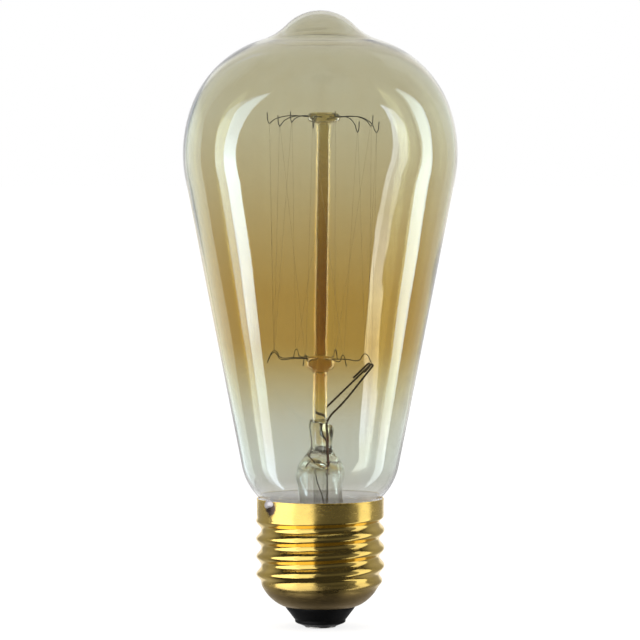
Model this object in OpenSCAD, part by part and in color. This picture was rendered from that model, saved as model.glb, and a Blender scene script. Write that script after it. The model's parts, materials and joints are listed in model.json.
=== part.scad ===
// Filament lamp: pear-shaped glass, squirrel-cage filament on a glass rod, screw cap.
// Millimetres, +Z from the contact up to the sealed tip of the glass.
// The origin is the centre of the outer face of the centre contact.

/* [Glass envelope] */
// Overall length, from the contact face to the tip of the glass
overall_length = 126; // [118:0.5:134]
// Largest outside diameter of the glass
glass_d = 56; // [50:0.5:60]
// Height of the tip above the widest point of the glass
crown_height = 29.1; // [27:0.1:33]
// Radius of the outline over the crown
crown_r = 22.1; // [20:0.1:25]
// Angle above the widest point at which the crown starts
crown_angle = 20; // [10:1:30]
// Radius of the drawn tip
tip_r = 9.6; // [8:0.1:12]
// Radius of the hollow between the tip and the crown
tip_fillet_r = 11.8; // [8:0.1:15]
// Radius of the shoulder above the cap
shoulder_r = 12.5; // [10:0.1:16]
// Angle below the widest section at which the shoulder reaches the cap's rim
shoulder_angle = 46; // [40:1:55]
// Outside diameter of the neck inside the cap
neck_d = 22.8; // [22:0.1:23]
// Radius of the hollow between the shoulder and the neck
neck_fillet_r = 1.5; // [1:0.1:2.5]
// Wall of the glass
glass_wall = 0.7; // [0.5:0.05:1]
// Distance from the cap's rim down to the lower end of the neck
neck_depth = 11.3; // [10:0.1:13]

/* [Stem] */
// Outside diameter of the stem tube
tube_d = 10.2; // [9:0.1:12]
// Wall of the stem tube
tube_wall = 0.9; // [0.6:0.05:1.2]
// Height of the flare, where the tube widens to meet the neck
flare_height = 8.5; // [6:0.1:10]
// Height at which the tube starts to close into the press
dome_z = 30.9; // [29:0.1:32.5]
// Height of the top of the press
press_top_z = 42.1; // [40:0.1:45]
// Long side of the press
press_width = 7.2; // [6:0.1:8.5]
// Short side of the press
press_thickness = 3.2; // [2.6:0.1:4]
// Turn of the press about the vertical
press_angle = -61; // [-90:1:90]
// Sideways offset of the press from the axis
press_x = 0.2; // [-1:0.1:1]
// Outside diameter of the exhaust tube
exhaust_d = 2.7; // [2:0.1:3.5]
// Wall of the exhaust tube
exhaust_wall = 0.6; // [0.4:0.05:0.8]
// Height of the sealed end of the exhaust tube
exhaust_end_z = 8; // [7:0.1:12]

/* [Filament mount] */
// Diameter of the glass rod
rod_d = 2.8; // [2:0.1:4]
// Lean of the rod to the right
mount_lean = 0.73; // [-2:0.01:2]
// Sideways offset of the foot of the rod
mount_x = -0.08; // [-0.5:0.01:0.5]
// Distance from the tip of the glass down to the top of the upper button
button_depth = 20.7; // [18:0.1:24]
// Diameter of the upper button
upper_button_d = 6.5; // [5:0.1:8]
// Height of the upper button
upper_button_h = 2.2; // [1.8:0.1:3]
// Diameter of the lower button
lower_button_d = 5.9; // [5:0.1:7]
// Height of the lower button
lower_button_h = 3.4; // [2.8:0.1:4.5]
// Height of the lower edge of the lower button
lower_button_z = 52.2; // [50:0.1:56]

/* [Hooks and filament] */
// Diameter of the hook wire
hook_d = 0.18; // [0.15:0.01:0.4]
// Reach of the upper hooks, from the rod's axis to the bend
upper_reach = 11.1; // [9:0.1:12]
// Rise from the bend of an upper hook to its end
upper_end_rise = 2.2; // [1.5:0.1:3]
// Reach of the lower hooks, from the rod's axis to the peak
lower_reach = 9.95; // [8.5:0.05:11]
// Rise from the arm of a lower hook to its peak
lower_peak_rise = 1.3; // [0.8:0.1:2]
// Drop from the peak of a lower hook to its end
lower_end_drop = 2.1; // [1.5:0.1:3]
// Diameter of the filament wire
filament_d = 0.04; // [0.03:0.005:0.08]

/* [Lead wires] */
// Diameter of the inner lead wires
lead_d = 0.42; // [0.3:0.02:0.6]
// Distance between the two leads in the press
lead_spacing = 5.04; // [4.2:0.1:6]
// Distance of the ends of the inner leads from the axis
lead_reach = 10.7; // [9.5:0.1:11.5]
// Height of the ends of the inner leads
lead_end_z = 53.5; // [51:0.1:56]
// Length folded back over the filament at the end of the front lead
front_fold = 1.9; // [1.2:0.1:4]
// Length folded back over the filament at the end of the rear lead
rear_fold = 4.1; // [1.2:0.1:5]
// Height of the upper end of the seal wires inside the press
seal_top_z = 39.5; // [38:0.1:41]
// Height of the weld between the seal wires and the outer leads
weld_z = 31.6; // [30:0.1:33]
// Diameter of the weld beads
weld_d = 0.7; // [0.5:0.05:0.9]
// Diameter of the outer lead wires
outer_lead_d = 0.2; // [0.16:0.02:0.24]

/* [Screw cap] */
// Height of the cap's rim above the contact face
cap_height = 26.5; // [26:0.1:27.5]
// Diameter over the crests of the thread
thread_major_d = 26.3; // [26.05:0.05:26.45]
// Diameter in the roots of the thread
thread_minor_d = 24.2; // [24:0.05:24.5]
// Pitch of the right-handed thread
thread_pitch = 3.629; // [3.4:0.001:3.8]
// Height of the lowest crest on the +X side
thread_start_z = 9.1; // [8.8:0.05:9.6]
// Height of the plain skirt between the rim and the thread
skirt_height = 3.6; // [3:0.1:4.5]
// Outside diameter of the plain skirt
skirt_d = 26; // [25.8:0.05:26.3]
// Thickness of the brass sheet
sheet = 0.3; // [0.2:0.02:0.32]
// Height of the lower lip of the shell
shell_lip_z = 4.3; // [4:0.1:4.8]
// Outside diameter of the lower lip of the shell
shell_lip_d = 14.6; // [13:0.1:16]
// Clearance between the glass and the inside of the rim
rim_gap = 0.22; // [0.2:0.02:0.4]
// Depth of the cement's lower end below the rim, between the neck and the shell
cement_depth = 8.5; // [7:0.1:10]
// Depth of the cement's top below the rim, at the glass
cement_top_depth = 0.5; // [0.5:0.1:1.5]

/* [Insulator and contact] */
// Diameter of the insulator where it leaves the shell
insulator_d = 14.2; // [12.5:0.1:14.4]
// Diameter of the step around the foot of the insulator
insulator_foot_d = 10.4; // [9.5:0.1:12]
// Height of the step around the foot of the insulator
insulator_foot_z = 1.5; // [1.3:0.1:2.2]
// Height of the top of the insulator inside the shell
insulator_top_z = 6.9; // [6.7:0.1:7.5]
// Diameter of the centre contact
contact_d = 6.4; // [5.5:0.1:8]
// Thickness of the plate of the centre contact
contact_t = 0.4; // [0.3:0.05:0.6]
// Outside diameter of the contact's sleeve
contact_sleeve_d = 3.6; // [3:0.1:4.2]
// Height of the top of the contact's sleeve
contact_sleeve_z = 3; // [2:0.1:4]
// Direction of the solder joint on the rim, seen from above
solder_angle = 216; // [180:1:250]
// Height of the solder joint from its lower to its upper edge
solder_d = 2.1; // [1.5:0.1:2.6]
// Width of the solder joint along the rim
solder_w = 3; // [1.5:0.1:3.4]
// How far the solder joint stands out from the skirt
solder_h = 0.55; // [0.3:0.05:0.8]

/* [Hidden] */
// Directions of the eight upper hooks, and how far each bend lies below its button
upper_angle = [29, 78, 126.5, 175, 217, 259, 308, 346];
upper_bend_drop = [1.85, 1.2, 1.35, 1.5, 1.9, 2.1, 2.9, 3];
// Directions of the seven lower hooks; the leads take the eighth place
lower_angle = [72, 120, 162, 198, 252, 297, 336];
upper_count = len(upper_angle);
lower_count = len(lower_angle);
// Directions in which the front and the rear lead end
front_lead_angle = 0;
rear_lead_angle = 28;
hook_hold = 1;
seal_clear = 0.02;
round_n = 96;
wire_n = 6;
lead_n = 8;
loft_n = 32;
shell_n = 48;
rows_per_pitch = 8;

button_z = overall_length - button_depth;
rod_top_z = button_z - upper_button_h;
upper_arm_z = rod_top_z + 0.55 * upper_button_h;
lower_arm_z = lower_button_z + 0.85 * lower_button_h;
neck_r = neck_d / 2;
neck_bottom_z = cap_height - neck_depth;
tube_r = tube_d / 2;
thread_root_r = thread_minor_d / 2;
thread_amp = (thread_major_d - thread_minor_d) / 4;
skirt_r = skirt_d / 2;
thread_end_z = cap_height - skirt_height;
cement_bottom_z = cap_height - cement_depth;
contact_bore_d = contact_sleeve_d - 1.1;

// Functions that several pieces share
function unit(v) = v / norm(v);
function polar(r, a, z) = [r * cos(a), r * sin(a), z];
function arc(c, r, a0, a1, n) =
    [for (i = [0:n]) c + r * [cos(a0 + (a1 - a0) * i / n), sin(a0 + (a1 - a0) * i / n)]];
function reversed(l) = [for (i = [len(l) - 1:-1:0]) l[i]];
function blend(x, a, b) = let (t = min(1, max(0, (x - a) / (b - a)))) t * t * (3 - 2 * t);

// A point of the upright filament mount, moved to the leaning mount
function lean(p) = let (h = p.z - press_top_z) [
    mount_x + p.x * cos(mount_lean) + h * sin(mount_lean),
    p.y,
    press_top_z + h * cos(mount_lean) - p.x * sin(mount_lean)];

// Directions along a wire, and the sides of its tube carried from point to point
function wire_dirs(p) = [for (i = [0:len(p) - 1])
    unit(p[min(i + 1, len(p) - 1)] - p[max(i - 1, 0)])];
function square_to(n, t) = unit(n - t * (n * t));
function wire_sides(t, first) = [for (
    i = 0, n = square_to(first, t[0]);
    i < len(t);
    i = i + 1, n = i < len(t) ? square_to(n, t[i]) : n) n];

// A round wire of diameter d along the points p
module wire(p, d, sides = wire_n) {
    t = wire_dirs(p);
    first = abs(t[0].y) < 0.8 ? [0, 1, 0] : [1, 0, 0];
    n = wire_sides(t, first);
    last = len(p) - 1;
    points = [for (i = [0:last], k = [0:sides - 1])
        let (a = 360 * k / sides)
        p[i] + d / 2 * (cos(a) * n[i] + sin(a) * cross(t[i], n[i]))];
    faces = concat(
        [[for (k = [sides - 1:-1:0]) k]],
        [[for (k = [0:sides - 1]) last * sides + k]],
        [for (i = [0:last - 1], k = [0:sides - 1], half = [0, 1])
            let (a = i * sides + k, b = i * sides + (k + 1) % sides)
            half == 0 ? [a, b, b + sides] : [a, b + sides, a + sides]]);
    polyhedron(points, [for (f = faces) reversed(f)]);
}

// Glass envelope
dome_r = glass_d / 2;
dome_c = [0, overall_length - crown_height];
crown_c = dome_c + (dome_r - crown_r) * [cos(crown_angle), sin(crown_angle)];
tip_c = [0, overall_length - tip_r];
// The hollow's circle touches the tip's circle and the crown's circle from outside
tip_gap = crown_c - tip_c;
tip_along = ((tip_r + tip_fillet_r) ^ 2 - (crown_r + tip_fillet_r) ^ 2 + tip_gap * tip_gap)
    / (2 * norm(tip_gap));
tip_across = sqrt((tip_r + tip_fillet_r) ^ 2 - tip_along ^ 2);
hollow_c = tip_c + tip_along * unit(tip_gap)
    + tip_across * [-unit(tip_gap).y, unit(tip_gap).x];
tip_end = atan2(hollow_c.y - tip_c.y, hollow_c.x - tip_c.x);
crown_start = atan2(hollow_c.y - crown_c.y, hollow_c.x - crown_c.x);
// The shoulder passes the rim with a gap, and a straight cone touches dome and shoulder
rim_glass_r = skirt_r - sheet - rim_gap;
shoulder_c = [rim_glass_r - shoulder_r * cos(shoulder_angle),
    cap_height + shoulder_r * sin(shoulder_angle)];
cone_gap = dome_c - shoulder_c;
cone_angle = atan2(cone_gap.x, cone_gap.y) + asin((dome_r - shoulder_r) / norm(cone_gap));
neck_hollow_x = neck_r + neck_fillet_r;
neck_hollow_c = [neck_hollow_x, shoulder_c.y
    - sqrt((shoulder_r + neck_fillet_r) ^ 2 - (neck_hollow_x - shoulder_c.x) ^ 2)];
shoulder_end = atan2(shoulder_c.y - neck_hollow_c.y, neck_hollow_c.x - shoulder_c.x);

function shoulder_line(inset) = concat(
    arc(shoulder_c, shoulder_r - inset, -cone_angle, -shoulder_end, 12),
    arc(neck_hollow_c, neck_fillet_r + inset, 180 - shoulder_end, 180, 6));
function glass_line(inset) = concat(
    arc(tip_c, tip_r - inset, 90, tip_end, 14),
    arc(hollow_c, tip_fillet_r + inset, 180 + tip_end, 180 + crown_start, 8),
    arc(crown_c, crown_r - inset, crown_start, crown_angle, 14),
    arc(dome_c, dome_r - inset, crown_angle, -cone_angle, 16),
    shoulder_line(inset));

module envelope() {
    edge = 0.3 * glass_wall;
    color([0.78, 0.68, 0.45, 0.35])
        rotate_extrude($fn = round_n)
            polygon(concat(
                glass_line(0),
                [[neck_r, neck_bottom_z + edge], [neck_r - edge, neck_bottom_z]],
                [[neck_r - glass_wall, neck_bottom_z]],
                reversed(glass_line(glass_wall))));
}

// Stem: flare, tube and press in one glass piece
// Height up the press, then how much of the tube's size the long and short side keep
// The first ring lies inside the tube's wall, where the loft starts
press_shape = [
    [-0.05, 0.74, 0.89], [0, 1, 1], [0.08, 0.97, 0.96], [0.19, 0.87, 0.84], [0.28, 0.7, 0.67],
    [0.34, 0.52, 0.47], [0.4, 0.28, 0.25], [0.48, 0, 0], [0.55, -0.08, -0.1],
    [0.68, -0.03, -0.06], [0.82, 0.04, 0.05], [0.93, 0.06, 0.08], [0.98, 0, 0.03],
    [1, -0.2, -0.1]];
press_half_w = press_width / 2;
press_half_t = press_thickness / 2;
cavity_top_z = dome_z + 3;

// The loft's flats lie just outside the tube's circle, so that the tube's end is covered
loft_tube_r = (tube_r + 0.01) / cos(180 / loft_n);

function press_ring(f, long, short) = let (
    a = press_half_w + (loft_tube_r - press_half_w) * long,
    b = press_half_t + (loft_tube_r - press_half_t) * short,
    shift = press_x * blend(f, 0, 0.5))
    [for (k = [0:loft_n - 1])
        let (t = 360 * k / loft_n,
            x = (a - b) * min(1, max(-1, 1.6 * cos(t))) + b * cos(t),
            y = b * sin(t))
        [shift + x * cos(press_angle) - y * sin(press_angle),
            x * sin(press_angle) + y * cos(press_angle),
            dome_z + f * (press_top_z - dome_z)]];

module press_loft() {
    last = len(press_shape) - 1;
    points = [for (s = press_shape) each press_ring(s[0], s[1], s[2])];
    faces = concat(
        [[for (k = [loft_n - 1:-1:0]) k]],
        [[for (k = [0:loft_n - 1]) last * loft_n + k]],
        [for (i = [0:last - 1], k = [0:loft_n - 1], half = [0, 1])
            let (a = i * loft_n + k, b = i * loft_n + (k + 1) % loft_n)
            half == 0 ? [a, b, b + loft_n] : [a, b + loft_n, a + loft_n]]);
    polyhedron(points, [for (f = faces) reversed(f)]);
}

function flare_line(r, z) = [for (i = [0:12])
    let (a = 90 * i / 12)
    [r + (neck_r - glass_wall - r) * (1 - cos(a)),
        z + (neck_bottom_z + flare_height - z) * (1 - sin(a))]];

module stem_tube() {
    rotate_extrude($fn = round_n)
        polygon(concat(
            [[tube_r - tube_wall, dome_z], [tube_r, dome_z]],
            flare_line(tube_r, neck_bottom_z + tube_wall),
            reversed(flare_line(tube_r - tube_wall, neck_bottom_z))));
}

function lead_foot(side) = [
    press_x + side * lead_spacing / 2 * cos(press_angle),
    side * lead_spacing / 2 * sin(press_angle)];

module stem() {
    cavity_r = tube_r - tube_wall + 0.05;
    color([0.8, 0.8, 0.74, 0.5])
        difference() {
            union() {
                stem_tube();
                press_loft();
            }
            rotate_extrude($fn = round_n)
                polygon(concat(
                    [[0, dome_z - 1], [cavity_r, dome_z - 1], [cavity_r, dome_z]],
                    [for (a = [15:15:60])
                        [cavity_r * cos(a), dome_z + (cavity_top_z - dome_z) * sin(a) / sin(72)]],
                    [[cavity_r * cos(72), cavity_top_z], [0, cavity_top_z]]));
            for (side = [-1, 1])
                translate([lead_foot(side).x, lead_foot(side).y, dome_z])
                    cylinder(h = press_top_z, d = lead_d, $fn = round_n);
        }
}

module exhaust_tube() {
    r = exhaust_d / 2;
    bore = r - exhaust_wall;
    z = exhaust_end_z;
    color([0.82, 0.84, 0.8, 0.5])
        rotate_extrude($fn = round_n)
            polygon([
                [0, z], [0.3 * r, z + 0.1], [0.6 * r, z + 0.5], [0.85 * r, z + 1.3],
                [r, z + 2.6], [r, cavity_top_z], [bore, cavity_top_z],
                [bore, z + 3.2], [0.5 * bore, z + 2.2], [0, z + 1.9]]);
}

// Glass rod and its two buttons
module on_mount() {
    translate([mount_x, 0, press_top_z])
        rotate([0, mount_lean, 0])
            translate([0, 0, -press_top_z])
                children();
}

module arbor_rod() {
    foot = 0.15;
    color([0.85, 0.85, 0.8, 0.6])
        on_mount()
            translate([0, 0, press_top_z - foot])
                cylinder(h = rod_top_z - press_top_z + foot, d = rod_d, $fn = round_n);
}

// Straight bores in a button, one for the held end of each hook
module hook_bores(angles, z, r) {
    for (a = angles)
        rotate([0, 0, a])
            translate([r - hook_hold, 0, z])
                rotate([0, 90, 0])
                    cylinder(h = hook_hold + 1, d = hook_d, $fn = 24);
}

module upper_button() {
    r = upper_button_d / 2;
    h = upper_button_h;
    round_r = 0.42 * h;
    color([0.85, 0.85, 0.8, 0.6])
        on_mount()
            difference() {
                translate([0, 0, rod_top_z])
                    rotate_extrude($fn = round_n)
                        polygon(concat(
                            [[0, 0], [rod_d / 2, 0]],
                            arc([r - round_r, round_r], round_r, -80, 0, 6),
                            arc([r - round_r, h - round_r], round_r, 0, 80, 6),
                            [[0, h]]));
                hook_bores(upper_angle, upper_arm_z, r);
            }
}

module lower_button() {
    r = lower_button_d / 2;
    h = lower_button_h;
    core = rod_d / 2;
    color([0.85, 0.85, 0.8, 0.6])
        on_mount()
            difference() {
                translate([0, 0, lower_button_z])
                    rotate_extrude($fn = round_n)
                        polygon([
                            [core, 0], [core + 0.12, 0.02 * h], [core + 0.35, 0.1 * h],
                            [0.78 * r, 0.2 * h], [0.93 * r, 0.3 * h], [r, 0.43 * h],
                            [r, 0.56 * h], [0.97 * r, 0.72 * h], [0.9 * r, 0.86 * h],
                            [0.76 * r, 0.95 * h], [core + 0.4, 0.985 * h],
                            [core + 0.1, h], [core, h]]);
                hook_bores(lower_angle, lower_arm_z, r);
            }
}

// Wire hooks
function upper_bend(i) = lean(polar(upper_reach, upper_angle[i],
    upper_arm_z - upper_bend_drop[i]));
function lower_peak(i) = lean(polar(lower_reach, lower_angle[i],
    lower_arm_z + lower_peak_rise));

module upper_hook(i) {
    r = upper_button_d / 2;
    span = upper_reach - r;
    drop = upper_bend_drop[i];
    line = [
        [r - hook_hold, 0], [r, 0], [r + 0.15 * span, 0.12], [r + 0.35 * span, 0.22],
        [r + 0.55 * span, 0.12], [r + 0.75 * span, -0.16 * drop],
        [r + 0.89 * span, -0.48 * drop], [upper_reach - 0.22, 0.22 - drop],
        [upper_reach, -drop], [upper_reach + 0.16, 0.2 - drop],
        [upper_reach + 0.5, upper_end_rise - drop]];
    color([0.3, 0.29, 0.28])
        wire([for (p = line) lean(polar(p.x, upper_angle[i], upper_arm_z + p.y))], hook_d);
}

module lower_hook(i) {
    r = lower_button_d / 2;
    reach = lower_reach;
    rise = lower_peak_rise;
    line = [
        [r - hook_hold, 0], [r, 0], [r + 0.4 * (reach - r), 0.05], [reach - 1.35, 0],
        [reach - 1.2, 0.06 * rise], [reach - 0.6, 0.76 * rise], [reach - 0.33, 0.95 * rise],
        [reach, rise], [reach + 0.33, 0.93 * rise], [reach + 0.56, 0.72 * rise],
        [reach + 1.4, rise - lower_end_drop]];
    color([0.3, 0.29, 0.28])
        wire([for (p = line) lean(polar(p.x, lower_angle[i], lower_arm_z + p.y))], hook_d);
}

// Lead wires inside the glass
front_end = polar(lead_reach, front_lead_angle, lead_end_z);
rear_end = polar(1.08 * lead_reach, rear_lead_angle, lead_end_z - 0.2);
fold_gap = 1.15 * lead_d;

// The line of a lead: up from the press, out to its end and folded back over itself
function lead_line(side, end, fold) = let (
    foot = lead_foot(side),
    knee = [foot.x, foot.y, press_top_z + 0.6 * lead_d],
    near = knee + 0.09 * (end - knee),
    sag = side > 0 ? 0.1 : -0.6,
    far = knee + 0.3 * (end - knee) - [0, 0, sag * lead_d],
    along = unit(end - far),
    over = unit([-along.z, 0, along.x]),
    c = end + fold_gap / 2 * over)
    concat(
        [[foot.x, foot.y, seal_top_z], knee, near + 0.35 * lead_d * [-1, 0, 1], far, end],
        [for (a = [45:45:180]) c + fold_gap / 2 * (sin(a) * along - cos(a) * over)],
        [end + fold_gap * over - fold * along]);

module lead_front() {
    color([0.42, 0.4, 0.38])
        wire(lead_line(1, front_end, front_fold), lead_d, lead_n);
}

module lead_rear() {
    color([0.42, 0.4, 0.38])
        wire(lead_line(-1, rear_end, rear_fold), lead_d, lead_n);
}

// Filament: one wire over every hook, from the rear lead to the front lead
// The filament's way round a hook at p, with its neighbours before and after
function hook_turn(p, before, after) = let (
    r = (hook_d + filament_d) / 2,
    a = unit(before - p),
    b = unit(after - p),
    inward = unit(a + b),
    across = unit(a - b))
    [for (t = [0:45:180]) p + r * (cos(t) * across - sin(t) * inward)];
function clamp_point(end, side) = let (line = lead_line(side, end, 1), last = len(line) - 1)
    (line[last - 1] + line[4]) / 2;
filament_stops = concat(
    [clamp_point(rear_end, -1)],
    [for (i = [0:lower_count - 1]) each [upper_bend(i), lower_peak(i)]],
    [upper_bend(upper_count - 1)],
    [clamp_point(front_end, 1)]);
filament_line = concat(
    [filament_stops[0]],
    [for (i = [1:len(filament_stops) - 2])
        each hook_turn(filament_stops[i], filament_stops[i - 1], filament_stops[i + 1])],
    [filament_stops[len(filament_stops) - 1]]);

module filament() {
    color([0.35, 0.34, 0.33])
        wire(filament_line, filament_d);
}

// Seal wires and outer leads
module seal_wire(side) {
    foot = lead_foot(side);
    color([0.62, 0.25, 0.16])
        translate([foot.x, foot.y, 0]) {
            translate([0, 0, weld_z])
                cylinder(h = seal_top_z - weld_z, d = lead_d, $fn = 32);
            translate([0, 0, weld_z])
                sphere(d = weld_d, $fn = 32);
        }
}

side_top = cap_height + 0.1;
side_gap_r = neck_r + (thread_root_r - sheet - neck_r) / 2;
side_line = [
    [lead_foot(1).x, lead_foot(1).y, weld_z],
    [lead_foot(1).x, lead_foot(1).y, 0.84 * weld_z],
    [lead_foot(1).x - 0.02 * tube_r, lead_foot(1).y - 0.06 * tube_r, 0.68 * weld_z],
    polar(0.55 * neck_r, solder_angle + 40, neck_bottom_z - 1.2),
    polar(0.88 * neck_r, solder_angle + 8, neck_bottom_z - 1.6),
    polar(side_gap_r - 0.1, solder_angle + 1, neck_bottom_z - 1.1),
    polar(side_gap_r, solder_angle, neck_bottom_z + 0.3),
    polar(side_gap_r, solder_angle, neck_hollow_c.y - 0.6),
    polar(side_gap_r + 0.1, solder_angle, neck_hollow_c.y + 0.2),
    polar(rim_glass_r + 0.12, solder_angle, cap_height - 0.25),
    polar(skirt_r - sheet / 2 - 0.05, solder_angle, side_top),
    polar(skirt_r + 0.12, solder_angle, side_top - 0.15),
    polar(skirt_r + 0.16, solder_angle, side_top - 0.7)];

module side_wire() {
    color([0.66, 0.4, 0.26])
        wire(side_line, outer_lead_d);
}

module centre_wire() {
    foot = lead_foot(-1);
    fall = weld_z - exhaust_end_z;
    color([0.66, 0.4, 0.26])
        wire([
            [foot.x, foot.y, weld_z],
            [foot.x + 0.08 * tube_r, foot.y + 0.02 * tube_r, weld_z - 0.09 * fall],
            [foot.x + 0.27 * tube_r, foot.y + 0.06 * tube_r, weld_z - 0.21 * fall],
            [foot.x + 0.37 * tube_r, foot.y, weld_z - 0.47 * fall],
            [0.8 * exhaust_d / 2, 1.5 * exhaust_d / 2, weld_z - 0.79 * fall],
            [0.3 * exhaust_d / 2, exhaust_d / 2, exhaust_end_z - exhaust_d / 2],
            [0, 0.2 * exhaust_d / 2, 1.2 * contact_sleeve_z],
            [0, 0, 0.85 * contact_sleeve_z], [0, 0, 2 * contact_t]], outer_lead_d);
}

// Screw cap
// Outline of the shell from its lower lip to the start of the thread, and above it
foot_core_r = shell_lip_d / 2 - 0.06 * (thread_root_r - shell_lip_d / 2);
foot_span = thread_start_z - shell_lip_z;
foot_reach = 1.03 * foot_span;
shell_rows = concat(
    [for (f = [0, 0.03, 0.09, 0.2, 0.36, 0.54, 0.68]) shell_lip_z + f * foot_span],
    [for (z = [shell_lip_z + 0.78 * foot_span : thread_pitch / rows_per_pitch : thread_end_z - 0.1]) z],
    [thread_end_z + 0.15, cap_height - 1, cap_height - 0.45, cap_height - 0.15, cap_height]);
// The shell's outside radius without the thread: a rounded foot, the roots, then the skirt
function shell_base(z) = let (
    f = min(1, max(0, (thread_start_z + 0.02 * foot_span - z) / foot_reach)),
    foot = foot_core_r + (thread_root_r - foot_core_r) * (1 - f ^ 1.5) ^ (1 / 1.5),
    skirt = blend(z, thread_end_z - 1.3, thread_end_z),
    lip = blend(z, cap_height - 0.5, cap_height - 0.1))
    foot + (skirt_r - thread_root_r) * skirt + 0.25 * sheet * lip;
// The depth of the thread, full between its two run-outs
function shell_amp(z) = thread_amp
    * blend(z, thread_start_z - thread_pitch / 3, thread_start_z + 0.4 * thread_pitch)
    * (1 - blend(z, thread_end_z - thread_pitch / 3, thread_end_z));
function shell_r(z, a) = shell_base(z)
    + shell_amp(z) * (1 + cos(360 * (z - thread_start_z) / thread_pitch - a));
// Direction square to the outline, so that the sheet keeps its thickness round the foot
function shell_normal(z) = z > thread_start_z ? [1, 0]
    : let (d = 0.02, s = (shell_base(z + d) - shell_base(max(shell_lip_z, z - d))) / (
        z - d < shell_lip_z ? d + z - shell_lip_z : 2 * d)) unit([1, -s]);

module cap_shell() {
    rows = len(shell_rows);
    outside = [for (z = shell_rows, k = [0:shell_n - 1])
        let (a = 360 * k / shell_n) polar(shell_r(z, a), a, z)];
    inside = [for (z = shell_rows, k = [0:shell_n - 1])
        let (a = 360 * k / shell_n, n = shell_normal(z))
        polar(shell_r(z, a) - sheet * n.x, a, min(z - sheet * n.y, cap_height))];
    size = rows * shell_n;
    walls = [for (i = [0:rows - 2], k = [0:shell_n - 1])
        let (a = i * shell_n + k, b = i * shell_n + (k + 1) % shell_n)
        [a, b, b + shell_n, a + shell_n]];
    last = (rows - 1) * shell_n;
    faces = concat(
        [for (q = walls) each [[q[0], q[2], q[1]], [q[0], q[3], q[2]]]],
        [for (q = walls) each [
            [q[0] + size, q[1] + size, q[2] + size], [q[0] + size, q[2] + size, q[3] + size]]],
        [for (k = [0:shell_n - 1]) let (m = (k + 1) % shell_n) each [
            [k, m, m + size], [k, m + size, k + size],
            [last + k, last + m + size, last + m], [last + k, last + k + size, last + m + size]]]);
    color([0.78, 0.62, 0.28])
        polyhedron(concat(outside, inside), faces);
}

module capping_cement() {
    clear = 0.05;
    inner_r = thread_root_r - sheet - clear;
    top_z = cap_height - cement_top_depth;
    glass_side = [for (p = shoulder_line(0)) if (p.y < top_z) p];
    color([0.62, 0.5, 0.34])
        difference() {
            rotate_extrude($fn = round_n)
                polygon(concat(
                    [[neck_r, cement_bottom_z], [inner_r, cement_bottom_z]],
                    [[inner_r, thread_end_z - 0.3], [skirt_r - sheet - clear, thread_end_z + 0.3]],
                    [[skirt_r - sheet - clear, top_z + 0.1], [glass_side[0].x + 0.2, top_z]],
                    glass_side));
            wire(side_line, 1.1 * outer_lead_d);
        }
}

// Insulator and centre contact
// The shell's inner side, from its lip inward, a little way off
function lip_inside(f, off) = let (
    z = shell_lip_z + f * foot_span,
    n = shell_normal(z),
    p = [shell_base(z), z] - (sheet + off) * n) p;

module insulator() {
    foot_r = insulator_foot_d / 2;
    contact_r = contact_d / 2;
    bore_r = contact_sleeve_d / 2 + seal_clear;
    top = insulator_foot_z;
    seat = contact_t + seal_clear;
    color([0.07, 0.07, 0.08])
        rotate_extrude($fn = round_n)
            polygon(concat(
                [[bore_r, seat], [contact_r + 0.05, seat], [contact_r + 0.12, 0.55 * contact_t]],
                [[contact_r + 0.5, 0.24 * top], [foot_r - 0.9, 0.42 * top]],
                [[foot_r - 0.25, 0.58 * top], [foot_r, 0.74 * top], [foot_r, top]],
                [[insulator_d / 2, shell_lip_z - 0.25], [insulator_d / 2 + 0.08, shell_lip_z - 0.05]],
                [for (f = [0, 0.035, 0.1, 0.24, 0.42]) lip_inside(f, seal_clear)],
                [[lip_inside(0.42, 0.3).x, insulator_top_z], [bore_r + 1, insulator_top_z]],
                [[bore_r, insulator_top_z - 0.6]]));
}

module centre_contact() {
    contact_r = contact_d / 2;
    bore_r = contact_bore_d / 2;
    sleeve_r = contact_sleeve_d / 2;
    edge = 0.25 * contact_t;
    color([0.72, 0.66, 0.5])
        rotate_extrude($fn = round_n)
            polygon([
                [bore_r, 0], [contact_r - edge, 0], [contact_r, edge], [contact_r, contact_t],
                [sleeve_r, contact_t], [sleeve_r, contact_sleeve_z], [bore_r, contact_sleeve_z]]);
}

module centre_solder() {
    color([0.7, 0.7, 0.69])
        difference() {
            cylinder(h = 4 * contact_t, d = contact_bore_d, $fn = round_n);
            translate([0, 0, 2 * contact_t])
                cylinder(h = 4 * contact_t, d = outer_lead_d, $fn = 24);
        }
}

module side_solder() {
    r = solder_d / 2;
    color([0.72, 0.72, 0.72])
        difference() {
            translate(polar(skirt_r - 0.25, solder_angle, cap_height - 0.65))
                rotate([0, 0, solder_angle])
                    scale([1, solder_w / solder_d, 1])
                        rotate([0, 90, 0])
                            rotate_extrude($fn = round_n)
                                polygon(concat([[0, 0], [r, 0]],
                                    [for (a = [0:12:84]) [r * cos(a), 0.25 + solder_h * sin(a)]],
                                    [[0, 0.25 + solder_h]]));
            cylinder(h = 2 * cap_height, r = skirt_r + 0.08, $fn = 360);
        }
}

envelope();
stem();
exhaust_tube();
arbor_rod();
upper_button();
lower_button();
for (i = [1:upper_count])
    upper_hook(i - 1);
for (i = [1:lower_count])
    lower_hook(i - 1);
filament();
lead_front();
lead_rear();
seal_wire(1);  // seal_wire_front
seal_wire(-1);  // seal_wire_rear
side_wire();
centre_wire();
cap_shell();
capping_cement();
insulator();
centre_contact();
centre_solder();
side_solder();
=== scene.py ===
"""Filament lamp with a pear-shaped amber glass and a brass screw cap, dressed for rendering."""

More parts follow.
